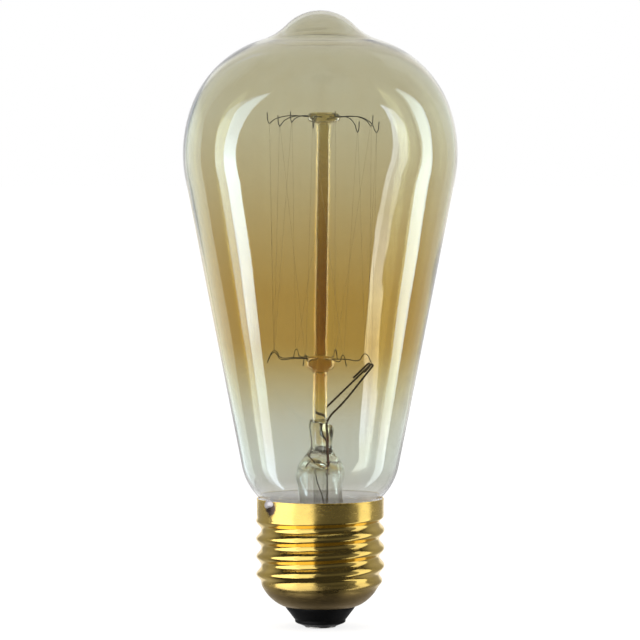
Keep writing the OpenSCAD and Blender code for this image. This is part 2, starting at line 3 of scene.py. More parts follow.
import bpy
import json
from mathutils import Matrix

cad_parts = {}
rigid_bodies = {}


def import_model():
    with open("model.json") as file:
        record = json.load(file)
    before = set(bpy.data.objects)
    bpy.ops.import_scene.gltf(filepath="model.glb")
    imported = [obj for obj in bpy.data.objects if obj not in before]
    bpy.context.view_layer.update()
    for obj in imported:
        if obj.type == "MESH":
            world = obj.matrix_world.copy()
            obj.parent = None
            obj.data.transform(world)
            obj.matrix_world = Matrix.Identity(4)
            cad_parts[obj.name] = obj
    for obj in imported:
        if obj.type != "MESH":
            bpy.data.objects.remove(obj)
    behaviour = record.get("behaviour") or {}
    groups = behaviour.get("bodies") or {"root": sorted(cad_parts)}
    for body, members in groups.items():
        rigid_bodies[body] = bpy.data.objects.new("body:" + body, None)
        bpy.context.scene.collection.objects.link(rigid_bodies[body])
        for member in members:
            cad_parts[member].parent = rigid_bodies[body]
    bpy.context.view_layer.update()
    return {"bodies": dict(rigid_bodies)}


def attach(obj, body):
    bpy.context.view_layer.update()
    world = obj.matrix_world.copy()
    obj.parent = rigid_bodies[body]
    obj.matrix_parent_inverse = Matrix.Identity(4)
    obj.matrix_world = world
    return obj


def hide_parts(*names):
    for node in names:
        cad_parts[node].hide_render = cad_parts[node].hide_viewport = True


bl_info = {
    "name": "Filament Lamp",
    "version": (1, 0, 0),
    "blender": (4, 5, 0),
    "location": "View3D > Sidebar > Lamp",
    "description": "Builds a filament lamp with a drawn tip, a squirrel-cage filament and a screw cap",
    "category": "Add Mesh",
}

import json
import math

import bpy
import numpy as np
from bpy.props import FloatProperty, FloatVectorProperty, PointerProperty
from mathutils import Vector

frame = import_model()
MM = 0.001
ROOT = next(iter(frame["bodies"]))

# Values that several pieces go by, in millimetres and radians
OVERALL = 126.0
PRESS_TOP = 42.1
# the press stands a little right of the axis, its long side turned from X towards the front
PRESS_SHIFT, PRESS_TURN = 0.2, math.radians(-61)
# a lead starts inside the press, where its seal wire ends
LEAD_START = 39.5
# heights of a seal wire's two weld beads
WELDS = (31.6, 33.8)
# the rod and all that it carries stand a little to the left and lean to the right
MOUNT_SHIFT, LEAN = -0.08, math.radians(0.73)
# directions in degrees of the upper hooks with the depth of their bends, of the lower hooks,
# and of the solder on the cap's rim
UPPER = tuple(zip((29, 78, 126.5, 175, 217, 259, 308, 346),
                  (1.85, 1.2, 1.35, 1.5, 1.9, 2.1, 2.9, 3.0)))
LOWER = (72, 120, 162, 198, 252, 297, 336)
SOLDER_AT = 216
# how far the lower hooks' peaks stand above their arms
LOWER_RISE = 1.3


def length(name, description, default):
    """A size in metres, shown with the scene's length unit."""
    return FloatProperty(name=name, description=description, default=default * MM, precision=5,
                         unit="LENGTH", subtype="DISTANCE")


def radiance(name, lamp, default):
    """How bright a lamp is."""
    return FloatProperty(name=name, description="Radiance of the " + lamp, default=default)


def tint(name, description, default):
    """A linear colour."""
    return FloatVectorProperty(name=name, description=description, default=default, size=3,
                               min=0.0, max=1.0, subtype="COLOR")


class LampGlassSizes(bpy.types.PropertyGroup):
    """Sizes of the glass envelope and of the stem."""

    overall: length("Overall length", "From the contact to the tip of the glass", OVERALL)
    diameter: length("Glass diameter", "Largest outside diameter of the glass", 56.0)
    crown_height: length("Crown height", "From the widest point up to the tip", 29.1)
    crown_r: length("Crown radius", "Radius of the outline over the crown", 22.1)
    tip_r: length("Tip radius", "Radius of the drawn tip", 9.6)
    tip_fillet_r: length("Tip hollow radius", "Radius of the hollow beside the tip", 11.8)
    shoulder_r: length("Shoulder radius", "Radius of the shoulder above the cap", 12.5)
    neck_d: length("Neck diameter", "Outside diameter of the neck in the cap", 22.8)
    neck_fillet_r: length("Neck hollow radius", "Radius between shoulder and neck", 1.5)
    wall: length("Glass wall", "Thickness of the blown glass", 0.7)
    neck_depth: length("Neck depth", "From the rim down to the neck's lower end", 11.3)
    tube_d: length("Stem diameter", "Outside diameter of the stem tube", 10.2)
    tube_wall: length("Stem wall", "Thickness of the stem tube", 0.9)
    dome_z: length("Stem dome height", "Height where the stem starts to close", 30.9)
    press_top: length("Press height", "Height of the top of the press", PRESS_TOP)
    press_w: length("Press width", "Long side of the press", 7.2)
    press_t: length("Press thickness", "Short side of the press", 3.2)
    exhaust_d: length("Exhaust tube", "Outside diameter of the exhaust tube", 2.7)
    exhaust_end: length("Exhaust end", "Height of its sealed end", 8.0)


class LampMountSizes(bpy.types.PropertyGroup):
    """Sizes of the rod, the hooks, the leads and the filament."""

    rod_d: length("Rod", "Diameter of the glass rod", 2.8)
    button_top: length("Upper button", "Height of the top of the upper button", 105.3)
    upper_button_d: length("Upper button diameter", "Across the upper button", 6.5)
    upper_button_h: length("Upper button height", "From its lower to its upper face", 2.2)
    lower_button_d: length("Lower button diameter", "Across the lower button", 5.9)
    lower_button_h: length("Lower button height", "From its lower to its upper edge", 3.4)
    lower_button_z: length("Lower button", "Height of its lower edge", 52.2)
    hook_d: length("Hook wire", "Diameter of the hook wire", 0.18)
    upper_reach: length("Upper reach", "From the rod to the bend of an upper hook", 11.1)
    lower_reach: length("Lower reach", "From the rod to the peak of a lower hook", 9.95)
    filament_d: length("Filament wire", "Diameter of the filament wire", 0.04)
    lead_d: length("Lead wire", "Diameter of the inner leads", 0.42)
    lead_spacing: length("Lead spacing", "Between the two leads in the press", 5.04)
    lead_reach: length("Lead reach", "From the axis to the end of a lead", 10.7)
    lead_end_z: length("Lead height", "Height of the ends of the leads", 53.5)
    outer_lead_d: length("Outer lead", "Diameter of the outer leads", 0.26)


class LampCapSizes(bpy.types.PropertyGroup):
    """Sizes of the screw cap."""

    height: length("Cap height", "From the contact to the rim", 26.5)
    major_d: length("Thread crests", "Diameter over the crests", 26.3)
    minor_d: length("Thread roots", "Diameter in the roots", 24.2)
    pitch: length("Thread pitch", "Rise of the thread in one turn", 3.629)
    start_z: length("Lowest crest", "Height of the lowest crest on the right", 9.1)
    skirt_d: length("Skirt", "Diameter of the plain skirt", 26.0)
    skirt_h: length("Skirt height", "Height of the plain skirt", 3.6)
    sheet: length("Sheet", "Thickness of the brass", 0.3)
    lip_z: length("Lower lip", "Height of the lower lip", 4.3)
    lip_d: length("Lower lip diameter", "Diameter of the lower lip", 14.6)
    rim_gap: length("Rim gap", "Between the glass and the rim", 0.22)


class LampColours(bpy.types.PropertyGroup):
    """Colours of the finishes, linear."""

    glass_top: tint("Glass, crown", "Tint of one wall at the crown", (0.68, 0.66, 0.525))
    glass_middle: tint("Glass, middle", "Tint of one wall at the amber band", (0.60, 0.475, 0.21))
    glass_foot: tint("Glass, foot", "Tint of one wall above the cap", (0.70, 0.70, 0.665))
    brass: tint("Brass", "Polished brass", (0.92, 0.66, 0.18))
    wire: tint("Hook wire", "Dark drawn wire", (0.035, 0.03, 0.022))
    seal: tint("Seal wire", "Dark red-brown oxide", (0.12, 0.035, 0.02))
    copper: tint("Outer lead", "Tarnished copper wire", (0.035, 0.024, 0.018))
    black: tint("Insulator", "Black glass", (0.009, 0.009, 0.0095))


class LampStageSettings(bpy.types.PropertyGroup):
    """Camera and light."""

    distance: FloatProperty(name="Camera distance", description="From the lamp to the camera",
                            default=1.05, unit="LENGTH", subtype="DISTANCE")
    elevation: FloatProperty(name="Camera elevation", description="Above the horizon",
                             default=math.radians(3.2), unit="ROTATION", subtype="ANGLE")
    left_light: radiance("Left light", "left panel", 13.0)
    right_light: radiance("Right light", "right panel", 8.0)
    back_strip: radiance("Back strip", "strip behind the glass where the amber is deepest", 7.5)
    rod_light: radiance("Rod light", "two strips that give the rod its bright edges", 8.0)
    neck_light: radiance("Neck light", "panel that shines into the neck", 5.6)
    rear_light: radiance("Rear light", "two panels behind", 1.2)
    cap_light: radiance("Cap light", "panels that light the cap", 1.0)


# Shapes

def mesh_object(name, points, faces):
    """A new smooth object from points in millimetres and faces, which are turned outwards.

    The signed volume, the sum of the first corner dotted with the cross product of the next
    two over all faces cut in triangles, is negative when a closed mesh is inside out."""
    points = np.asarray(points, dtype=float) * MM
    flat = [np.asarray(f) for f in faces if len(f)]
    tris = np.concatenate([f[:, [0, i, i + 1]] for f in flat for i in range(1, f.shape[1] - 1)])
    a, b, c = (points[tris[:, i]] for i in range(3))
    if np.einsum("ij,ij->", a, np.cross(b, c)) < 0:
        flat = [f[:, ::-1] for f in flat]
    mesh = bpy.data.meshes.new(name)
    mesh.vertices.add(len(points))
    mesh.vertices.foreach_set("co", points.astype(np.float32).ravel())
    sizes = np.concatenate([np.full(len(f), f.shape[1]) for f in flat])
    loops = np.concatenate([f.ravel() for f in flat])
    mesh.loops.add(len(loops))
    mesh.loops.foreach_set("vertex_index", loops.astype(np.int32))
    mesh.polygons.add(len(sizes))
    starts = np.concatenate([[0], np.cumsum(sizes)[:-1]])
    mesh.polygons.foreach_set("loop_start", starts.astype(np.int32))
    mesh.polygons.foreach_set("loop_total", sizes.astype(np.int32))
    mesh.update(calc_edges=True)
    mesh.validate()
    mesh.polygons.foreach_set("use_smooth", np.full(len(mesh.polygons), True))
    mesh.update()
    piece = bpy.data.objects.new(name, mesh)
    bpy.context.scene.collection.objects.link(piece)
    return piece


def grid_faces(rows, cols, closed=False, start=0):
    """Quads over a grid of rows by cols points; cols go round, and rows too where closed."""
    i = np.arange(rows if closed else rows - 1)[:, None]
    k = np.arange(cols)[None, :]
    j = (i + 1) % rows
    m = (k + 1) % cols
    quads = np.stack(np.broadcast_arrays(i * cols + k, i * cols + m, j * cols + m, j * cols + k), -1)
    return quads.reshape(-1, 4) + start


def ringed(name, rings, first=None, last=None, closed=False):
    """A closed skin over rings of points, shape (rows, cols, 3). A pole, first or last, closes
    an end with a fan of triangles, and closed joins the last ring to the first."""
    rows, cols = rings.shape[:2]
    points = [rings.reshape(-1, 3)]
    faces = [grid_faces(rows, cols, closed)]
    k = np.arange(cols)
    for pole, row, turn in ((first, 0, 1), (last, rows - 1, -1)):
        if pole is not None:
            tip = sum(len(p) for p in points)
            fan = np.stack([np.full(cols, tip), row * cols + (k + 1) % cols, row * cols + k], 1)
            faces.append(fan[:, ::turn])
            points.append(np.asarray(pole, dtype=float)[None, :])
    return mesh_object(name, np.concatenate(points), faces)


def turned(name, profile, segments, bend=None):
    """A profile of (radius, height) turned about the axis. A radius of 0 at either end is a
    pole, and a profile without poles is closed on itself."""
    profile = np.asarray(profile, dtype=float)
    poles = [profile[0, 0] < 1e-6, profile[-1, 0] < 1e-6]
    body = profile[int(poles[0]):len(profile) - int(poles[1])]
    a = np.linspace(0, 2 * np.pi, segments, endpoint=False)
    rings = np.stack([
        body[:, :1] * np.cos(a), body[:, :1] * np.sin(a),
        np.broadcast_to(body[:, 1:], (len(body), segments))], -1)
    ends = [np.array([0, 0, profile[e, 1]]) if p else None for e, p in zip((0, -1), poles)]
    if bend is not None:
        rings = bend(rings)
        ends = [None if e is None else bend(e) for e in ends]
    return ringed(name, rings, ends[0], ends[1], closed=not any(poles))


def arc(centre, radius, start, end, steps):
    """Points on a circle from one angle to another, in degrees."""
    a = np.radians(np.linspace(start, end, steps + 1))
    return np.asarray(centre) + radius * np.stack([np.cos(a), np.sin(a)], 1)


def smooth_path(points, steps):
    """A curve through points: between two of them a cubic whose slopes are the differences of
    the neighbours over their distance along the path."""
    p = np.asarray(points, dtype=float)
    t = np.concatenate([[0], np.cumsum(np.linalg.norm(np.diff(p, axis=0), axis=1))])
    slope = np.gradient(p, t, axis=0)
    u = np.linspace(0, t[-1], steps)
    i = np.clip(np.searchsorted(t, u, side="right") - 1, 0, len(t) - 2)
    h = (t[i + 1] - t[i])[:, None]
    s = ((u - t[i])[:, None]) / h
    return ((2 * s**3 - 3 * s**2 + 1) * p[i] + (s**3 - 2 * s**2 + s) * h * slope[i]
            + (3 * s**2 - 2 * s**3) * p[i + 1] + (s**3 - s**2) * h * slope[i + 1])


def drawn_wire(name, path, radius, beside, sides):
    """A round wire along a path. At each point its ring lies square to the path: one axis is
    the cross product of the path's direction with beside, the other completes the three. The
    ends are closed with half rounds, by two smaller rings and a pole each."""
    path = np.asarray(path, dtype=float)
    ahead = np.gradient(path, axis=0)
    ahead /= np.linalg.norm(ahead, axis=1, keepdims=True)
    over = np.cross(ahead, np.broadcast_to(np.asarray(beside, dtype=float), path.shape))
    over /= np.linalg.norm(over, axis=1, keepdims=True)
    side = np.cross(over, ahead)
    r = np.broadcast_to(np.asarray(radius, dtype=float), len(path))
    first, last = path[0] - r[0] * ahead[0], path[-1] + r[-1] * ahead[-1]
    lift = np.array([0.75, 0.4])
    centre = np.concatenate([path[0] + lift[:, None] * (first - path[0]), path,
                             path[-1] + lift[::-1, None] * (last - path[-1])])
    r = np.concatenate([r[0] * np.sqrt(1 - lift**2), r, r[-1] * np.sqrt(1 - lift[::-1]**2)])
    pad = lambda v: np.concatenate([v[[0, 0]], v, v[[-1, -1]]])[:, None]
    a = np.linspace(0, 2 * np.pi, sides, endpoint=False)[None, :, None]
    rings = centre[:, None] + r[:, None, None] * (np.cos(a) * pad(over) + np.sin(a) * pad(side))
    return ringed(name, rings, first, last)


def polar(r, degrees, z):
    """A point from its distance to the axis, its direction and its height."""
    a = math.radians(degrees)
    return np.array([r * math.cos(a), r * math.sin(a), z])


def step_between(x, a, b):
    """0 below a, 1 above b and a smooth rise between them."""
    t = np.clip((np.asarray(x, dtype=float) - a) / (b - a), 0, 1)
    return t * t * (3 - 2 * t)


# Outlines that pieces share

def sizes(group):
    """A settings group's lengths in millimetres, by name."""
    names = group.bl_rna.properties.keys()
    return {n: getattr(group, n) / MM for n in names if n not in ("rna_type", "name")}


def glass_line(g, cap, inset, fine=1):
    """The outline of the blown glass from the tip to the neck, as (radius, height): arcs of the
    tip, the hollow beside it, the crown and the dome, a straight cone, the shoulder and the
    hollow above the neck, each touching the next. inset moves it into the wall."""
    crown_angle, shoulder_angle = 20, 46
    dome_c = np.array([0, g["overall"] - g["crown_height"]])
    dome_r = g["diameter"] / 2
    crown_c = dome_c + polar(dome_r - g["crown_r"], crown_angle, 0)[:2]
    tip_c = np.array([0, g["overall"] - g["tip_r"]])
    gap = crown_c - tip_c
    d = np.linalg.norm(gap)
    u = gap / d
    ra, rb = g["tip_r"] + g["tip_fillet_r"], g["crown_r"] + g["tip_fillet_r"]
    along = (ra**2 - rb**2 + d**2) / (2 * d)
    hollow = tip_c + along * u + math.sqrt(ra**2 - along**2) * np.array([-u[1], u[0]])
    direction = lambda v: math.degrees(math.atan2(v[1], v[0]))
    tip_end, crown_start = direction(hollow - tip_c), direction(hollow - crown_c)
    rim_r = cap["skirt_d"] / 2 - cap["sheet"] - cap["rim_gap"]
    sr = g["shoulder_r"]
    shoulder_c = np.array([rim_r, cap["height"]]) - polar(sr, -shoulder_angle, 0)[:2]
    cone = dome_c - shoulder_c
    cone_angle = (math.degrees(math.atan2(cone[0], cone[1]))
                  + math.degrees(math.asin((dome_r - sr) / np.linalg.norm(cone))))
    neck_x = g["neck_d"] / 2 + g["neck_fillet_r"]
    neck_c = np.array([neck_x, shoulder_c[1] - math.sqrt(
        (sr + g["neck_fillet_r"])**2 - (neck_x - shoulder_c[0])**2)])
    shoulder_end = -direction(neck_c - shoulder_c)
    return np.concatenate([
        arc(tip_c, g["tip_r"] - inset, 90, tip_end, 18 * fine),
        arc(hollow, g["tip_fillet_r"] + inset, 180 + tip_end, 180 + crown_start, 12 * fine),
        arc(crown_c, g["crown_r"] - inset, crown_start, crown_angle, 18 * fine),
        arc(dome_c, dome_r - inset, crown_angle, -cone_angle, 16 * fine),
        arc(shoulder_c, sr - inset, -cone_angle, -shoulder_end, 16 * fine),
        arc(neck_c, g["neck_fillet_r"] + inset, 180 - shoulder_end, 180, 8 * fine)])


def lead_foot(m, side):
    """Where a lead stands in the press: side is 1 for the front lead and -1 for the rear."""
    off = side * m["lead_spacing"] / 2
    return np.array([PRESS_SHIFT + off * math.cos(PRESS_TURN), off * math.sin(PRESS_TURN)])


def leaning(points):
    """Points of the upright mount, shifted and turned to the right about the press's top."""
    p = np.asarray(points, dtype=float)
    x, h = p[..., 0], p[..., 2] - PRESS_TOP
    return np.stack([MOUNT_SHIFT + x * math.cos(LEAN) + h * math.sin(LEAN), p[..., 1],
                     PRESS_TOP + h * math.cos(LEAN) - x * math.sin(LEAN)], -1)


def upper_arm_z(m):
    """Height at which the upper hooks leave their button."""
    return m["button_top"] - 0.45 * m["upper_button_h"]


def lower_arm_z(m):
    """Height at which the lower hooks leave their button."""
    return m["lower_button_z"] + 0.85 * m["lower_button_h"]


def lead_line(m, side, fold):
    """The line of an inner lead: up out of the press, out to its end and back over itself."""
    foot, d = lead_foot(m, side), m["lead_d"]
    if side > 0:
        end, sag = polar(m["lead_reach"], 0, m["lead_end_z"]), 0.1
    else:
        end, sag = polar(1.08 * m["lead_reach"], 28, m["lead_end_z"] - 0.2), -0.6
    start = np.array([*foot, LEAD_START])
    knee = np.array([*foot, PRESS_TOP + 0.6 * d])
    near = knee + 0.09 * (end - knee) + 0.35 * d * np.array([-1, 0, 1])
    far = knee + 0.3 * (end - knee) - np.array([0, 0, sag * d])
    along = (end - far) / np.linalg.norm(end - far)
    over = np.array([-along[2], 0, along[0]])
    over /= np.linalg.norm(over)
    gap = 1.15 * d
    c = end + gap / 2 * over
    bend = [c + gap / 2 * (math.sin(a) * along - math.cos(a) * over)
            for a in np.radians([45, 90, 135, 180])]
    return np.array([start, knee, near, far, end, *bend, end + gap * over - fold * along])


# Materials

class Nodes:
    """Short calls for a node tree."""

    def __init__(self, tree):
        self.tree = tree
        tree.nodes.clear()

    def add(self, kind, inputs=None, **props):
        node = self.tree.nodes.new(kind)
        for key, value in props.items():
            setattr(node, key, value)
        for key, value in (inputs or {}).items():
            if isinstance(value, bpy.types.NodeSocket):
                self.tree.links.new(value, node.inputs[key])
            else:
                node.inputs[key].default_value = value
        return node

    def math(self, operation, a, b=0.0):
        return self.add("ShaderNodeMath", {0: a, 1: b}, operation=operation).outputs[0]

    def times(self, a, b):
        return self.math("MULTIPLY", a, b)

    def plus(self, a, b):
        return self.math("ADD", a, b)

    def minus(self, a, b):
        return self.math("SUBTRACT", a, b)

    def parts(self, vector):
        """The x, y and z of a vector."""
        node = self.add("ShaderNodeSeparateXYZ", {0: vector})
        return [node.outputs[k] for k in "XYZ"]

    def place(self):
        """The place on the piece, in metres, and the height in it."""
        at = self.add("ShaderNodeTexCoord").outputs["Object"]
        return at, self.parts(at)[2]

    def distance(self, a, b):
        return self.add("ShaderNodeVectorMath", {0: a, 1: b}, operation="DISTANCE").outputs["Value"]

    def facing(self):
        """0 where the surface is looked at squarely and 1 at its outline."""
        return self.add("ShaderNodeLayerWeight", {"Blend": 0.5}).outputs["Facing"]

    def scaled(self, vector, scale):
        return self.add("ShaderNodeMapping", {"Vector": vector, "Scale": scale}).outputs[0]

    def noise(self, vector, scale, detail=3.0, roughness=0.5):
        return self.add("ShaderNodeTexNoise", {
            "Vector": vector, "Scale": scale, "Detail": detail, "Roughness": roughness}).outputs["Fac"]

    def drift(self, vector, scale, detail, span):
        """Noise to both sides of 0."""
        return self.times(self.minus(self.noise(vector, scale, detail), 0.5), span)

    def ramp(self, fac, stops):
        """Colours between stops, each a value and its colour."""
        node = self.add("ShaderNodeValToRGB", {"Fac": fac})
        elements = node.color_ramp.elements
        while len(elements) < len(stops):
            elements.new(0.5)
        for element, (at, colour) in zip(elements, stops):
            element.position = at
            element.color = (*colour, 1.0)
        return node.outputs["Color"]

    def greys(self, fac, stops):
        """Levels between stops, each a value and its level."""
        return self.ramp(fac, [(at, (level,) * 3) for at, level in stops])

    def grey(self, fac, low, high, start=0.0, end=1.0):
        """One level up to start, another from end on."""
        return self.greys(fac, [(start, low), (end, high)])

    def mix(self, fac, a, b):
        """Colour a where fac is 0 and b where it is 1."""
        node = self.add("ShaderNodeMix", data_type="RGBA")
        for index, value in ((0, fac), (6, a), (7, b)):
            if isinstance(value, bpy.types.NodeSocket):
                self.tree.links.new(value, node.inputs[index])
            else:
                node.inputs[index].default_value = (*value, 1.0) if isinstance(value, tuple) else value
        return node.outputs[2]

    def bump(self, height, strength, distance):
        return self.add("ShaderNodeBump", {
            "Height": height, "Strength": strength, "Distance": distance}).outputs[0]

    def surface(self, inputs):
        return self.add("ShaderNodeBsdfPrincipled", inputs).outputs[0]

    def clear(self, colour):
        """A skin that only tints what is behind it."""
        return self.add("ShaderNodeBsdfTransparent", {"Color": colour}).outputs[0]

    def glow(self, inputs):
        return self.add("ShaderNodeEmission", inputs).outputs[0]

    def blend(self, fac, a, b):
        """Shader a where fac is 0 and b where it is 1."""
        return self.add("ShaderNodeMixShader", {0: fac, 1: a, 2: b}).outputs[0]


def material(name):
    """An empty node material and its nodes."""
    mat = bpy.data.materials.new(name)
    mat.use_nodes = True
    return mat, Nodes(mat.node_tree)


def finished(mat, n, shader):
    """The material, once its tree ends with its output."""
    n.add("ShaderNodeOutputMaterial", {"Surface": shader})
    return mat


def glass_shader(n, colour, thin_colour, normal, gloss=(1, 1, 1, 1)):
    """Clear glass that lets lamp light through to what is inside it."""
    glass = n.surface({"Base Color": colour, "Roughness": 0.0, "IOR": 1.5, "Transmission Weight": 1.0,
                       "Specular Tint": gloss, "Normal": normal})
    path = n.add("ShaderNodeLightPath").outputs
    lighting = n.math("MAXIMUM", path["Is Shadow Ray"], path["Is Diffuse Ray"])
    return n.blend(lighting, glass, n.clear(thin_colour))


def between(a, b, f):
    """A colour the share f of the way from a to b."""
    return tuple(x * (1 - f) + y * f for x, y in zip(a, b))


def glass_tint(c, n, z):
    """The tint of the blown glass, z being the height as a share of the lamp's: clear just above
    the cap, then greenish into amber, and paler again up to the crown."""
    top, middle, foot = (tuple(v) for v in (c.glass_top, c.glass_middle, c.glass_foot))
    greener = lambda f: tuple(min(1.0, v * k) for v, k in zip(
        between(foot, middle, f), (1.015, 1.045, 1.02)))
    return n.ramp(z, [
        (0.205, between(foot, (1.0, 1.0, 1.0), 0.6)), (0.225, foot), (0.27, greener(0.02)),
        (0.335, greener(0.14)), (0.40, greener(0.56)), (0.455, middle), (0.54, middle),
        (0.635, between(middle, top, 0.33)), (0.73, between(middle, top, 0.68)), (0.83, top),
        (0.93, between(top, foot, 0.12)), (0.98, between(top, foot, 0.32))])


def tip_ring(n, at):
    """1 on the ring that the drawing left at the back, and 0 elsewhere."""
    ring_low, ring_span = 0.1190, 0.003
    _, y, height = n.parts(at)
    height = n.plus(height, n.drift(at, 70.0, 2.0, 0.0005))
    ring = n.greys(n.times(n.minus(height, ring_low), 1 / ring_span), [
        (0.0, 0), (0.34, 0), (0.39, 1), (0.44, 1), (0.49, 0)])
    return n.times(ring, n.math("GREATER_THAN", y, 0.0))


def tip_fold(n, at):
    """1 on the short fold that the drawing left on the front, a line that rises a little to
    the right, and 0 elsewhere."""
    fold_z, slope, start_x, middle_x = 0.12166, 0.08, -0.0057, -0.002
    x, y, height = n.parts(at)
    above = n.minus(n.minus(height, fold_z), n.times(n.minus(x, start_x), slope))
    above = n.plus(above, n.drift(at, 260.0, 2.0, 0.0004))
    fold = n.grey(n.times(n.math("ABSOLUTE", above), 1000.0), 1.0, 0.0, 0.03, 0.12)
    along = n.times(n.math("ABSOLUTE", n.minus(x, middle_x)), 100.0)
    fold = n.times(fold, n.grey(along, 1.0, 0.0, 0.30, 0.42))
    return n.times(fold, n.math("LESS_THAN", y, 0.0))


def envelope_glass(c):
    """Blown glass: clear above the cap, amber round the middle and pale amber at the crown,
    with faint vertical streaks and a wavy surface. Where the tip was drawn it has a brownish
    ring with a ridge and a fold on the front. At the top of the crown a darker line just
    inside its outline is painted shade."""
    mat, n = material("Amber blown glass")
    at, height = n.place()
    z = n.times(height, 1 / (OVERALL * MM))
    x = n.parts(at)[0]
    tinted = glass_tint(c, n, n.plus(z, n.drift(n.scaled(at, (30, 30, 8)), 1.0, 2.0, 0.05)))
    streaks = n.noise(n.scaled(at, (260, 260, 9)), 1.0, 4.0, 0.6)
    tinted = n.mix(n.grey(streaks, 0.0, 0.10, 0.45, 0.8), tinted, (0.55, 0.42, 0.2))
    ring = tip_ring(n, at)
    browner = n.mix(n.grey(n.times(x, 100.0), 0.0, 1.0, 0.0, 0.9),
                    (0.55, 0.46, 0.24), (0.40, 0.28, 0.10))
    tinted = n.mix(n.times(ring, 0.85), tinted, browner)
    tinted = n.mix(n.times(tip_fold(n, at), 0.75), tinted, (0.34, 0.32, 0.22))
    # painted shade: at the top of the crown, a darker line just inside the outline, set by how squarely
    # the glass is seen
    outline = n.greys(n.facing(), [(0.70, 0), (0.79, 1), (0.86, 0)])
    crown = n.grey(n.plus(z, n.times(x, 2.0)), 0.0, 1.0, 0.93, 0.95)
    tinted = n.mix(n.times(n.times(outline, crown), 0.55), tinted, (0.44, 0.36, 0.17))
    waves = n.noise(n.scaled(at, (55, 55, 30)), 1.0, 1.0)
    ridge = n.plus(waves, n.times(ring, 0.03))
    light = n.ramp(z, [(0.25, (0.97, 0.92, 0.84)), (0.32, (0.93, 0.80, 0.64)),
                       (0.42, (0.88, 0.79, 0.58))])
    gloss = n.ramp(z, [(0.27, (1.0, 0.86, 0.78)), (0.32, (1.0, 0.73, 0.55)),
                       (0.355, (0.95, 0.75, 0.53)), (0.39, (1.0, 0.95, 0.76)), (0.50, (1, 1, 1))])
    return finished(mat, n, glass_shader(n, tinted, light, n.bump(ridge, 0.25, 0.0012), gloss))


def rod_glass_painted_amber():
    """Glass of the rod with painted amber: a stand-in for the envelope's amber seen obliquely
    through the rod, darker than the glass round it. It is deepest in the amber band and pales
    towards its edges, where less of it is looked through."""
    mat, n = material("Rod glass with painted amber")
    at, height = n.place()
    # painted shade: the rod's amber by height stands in for the envelope's amber seen through the rod
    tinted = n.ramp(n.times(height, 1 / (OVERALL * MM)), [
        (0.33, (0.80, 0.70, 0.40)), (0.365, (0.80, 0.62, 0.22)), (0.40, (0.80, 0.52, 0.14)),
        (0.43, (0.53, 0.32, 0.05)), (0.48, (0.37, 0.20, 0.02)), (0.54, (0.34, 0.19, 0.02)),
        (0.63, (0.36, 0.23, 0.025)), (0.725, (0.47, 0.35, 0.12)), (0.81, (0.52, 0.43, 0.17))])
    streaks = n.noise(n.scaled(at, (900, 900, 30)), 1.0, 3.0)
    tinted = n.mix(n.grey(streaks, 0.0, 0.2, 0.4, 0.75), tinted, (0.28, 0.17, 0.03))
    tinted = n.mix(n.grey(n.facing(), 0.0, 0.7, 0.50, 0.68), tinted, (0.86, 0.78, 0.48))
    waves = n.noise(n.scaled(at, (240, 240, 60)), 1.0, 1.0)
    return finished(mat, n, glass_shader(
        n, tinted, (0.8, 0.7, 0.45, 1), n.bump(waves, 0.06, 0.0004)))


def thin_tube_glass():
    """The thin exhaust tube as one skin: clear when looked at squarely, glossier towards its
    edges, and greyer there, which is painted shade."""
    mat, n = material("Thin tube glass")
    at = n.place()[0]
    facing = n.facing()
    # painted shade: the skin greys towards its edges
    shade = n.ramp(facing, [(0.0, (0.98, 0.98, 0.96)), (0.55, (0.93, 0.93, 0.90)),
                            (0.8, (0.62, 0.61, 0.55)), (0.93, (0.80, 0.79, 0.73))])
    lines = n.noise(n.scaled(at, (1500, 1500, 20)), 1.0, 2.0)
    shade = n.mix(n.grey(lines, 0.0, 0.3, 0.5, 0.8), shade, (0.72, 0.72, 0.68))
    gloss = n.surface({"Base Color": (0.02, 0.02, 0.02, 1), "Roughness": 0.05, "IOR": 1.5})
    share = n.greys(facing, [(0.0, 0.04), (0.6, 0.08), (0.9, 0.35), (1.0, 0.8)])
    return finished(mat, n, n.blend(share, n.clear(shade), gloss))


def stem_glass():
    """Worked glass in the press with the rod's amber foot in it, and below it the drawn tube: a
    thin wall that lets the view through almost unbent, with faint lines along it and a gloss
    that grows towards its edges. Towards its edges the tube is also greyer, which is painted
    shade."""
    mat, n = material("Clear stem glass")
    at, height = n.place()
    cloud = n.noise(at, 220.0, 3.0)
    tinted = n.mix(n.grey(cloud, 0.0, 0.6, 0.4, 0.75), (0.87, 0.85, 0.72), (0.70, 0.66, 0.48))
    drop = n.distance(n.scaled(at, (1.0, 0.0, 0.36)), (0.0011, 0.0, 0.0144))
    drop = n.grey(n.times(drop, 500.0), 1.0, 0.0, 0.35, 0.6)
    tinted = n.mix(n.times(drop, 0.8), tinted, (0.72, 0.50, 0.17))
    waves = n.noise(n.scaled(at, (180, 180, 60)), 1.0, 2.0)
    solid = glass_shader(n, tinted, (0.92, 0.9, 0.84, 1), n.bump(waves, 0.12, 0.0006))
    facing = n.facing()
    # painted shade: the tube's skin greys towards its edges
    shade = n.ramp(facing, [(0.0, (0.985, 0.985, 0.975)), (0.5, (0.95, 0.95, 0.93)),
                            (0.75, (0.80, 0.79, 0.75)), (0.95, (0.66, 0.65, 0.60))])
    lines = n.noise(n.scaled(at, (1300, 1300, 8)), 1.0, 2.0)
    shade = n.mix(n.grey(lines, 0.0, 0.5, 0.5, 0.75), shade, (0.80, 0.80, 0.75))
    gloss = n.surface({"Base Color": (1, 1, 1, 1), "Metallic": 1.0, "Roughness": 0.03})
    share = n.greys(facing, [(0.0, 0.04), (0.5, 0.07), (0.7, 0.2), (0.85, 0.46), (1.0, 1.0)])
    skin = n.blend(share, n.clear(shade), gloss)
    solid_above = n.grey(n.times(height, 10.0), 0.0, 1.0, 0.312, 0.328)
    return finished(mat, n, n.blend(solid_above, skin, solid))


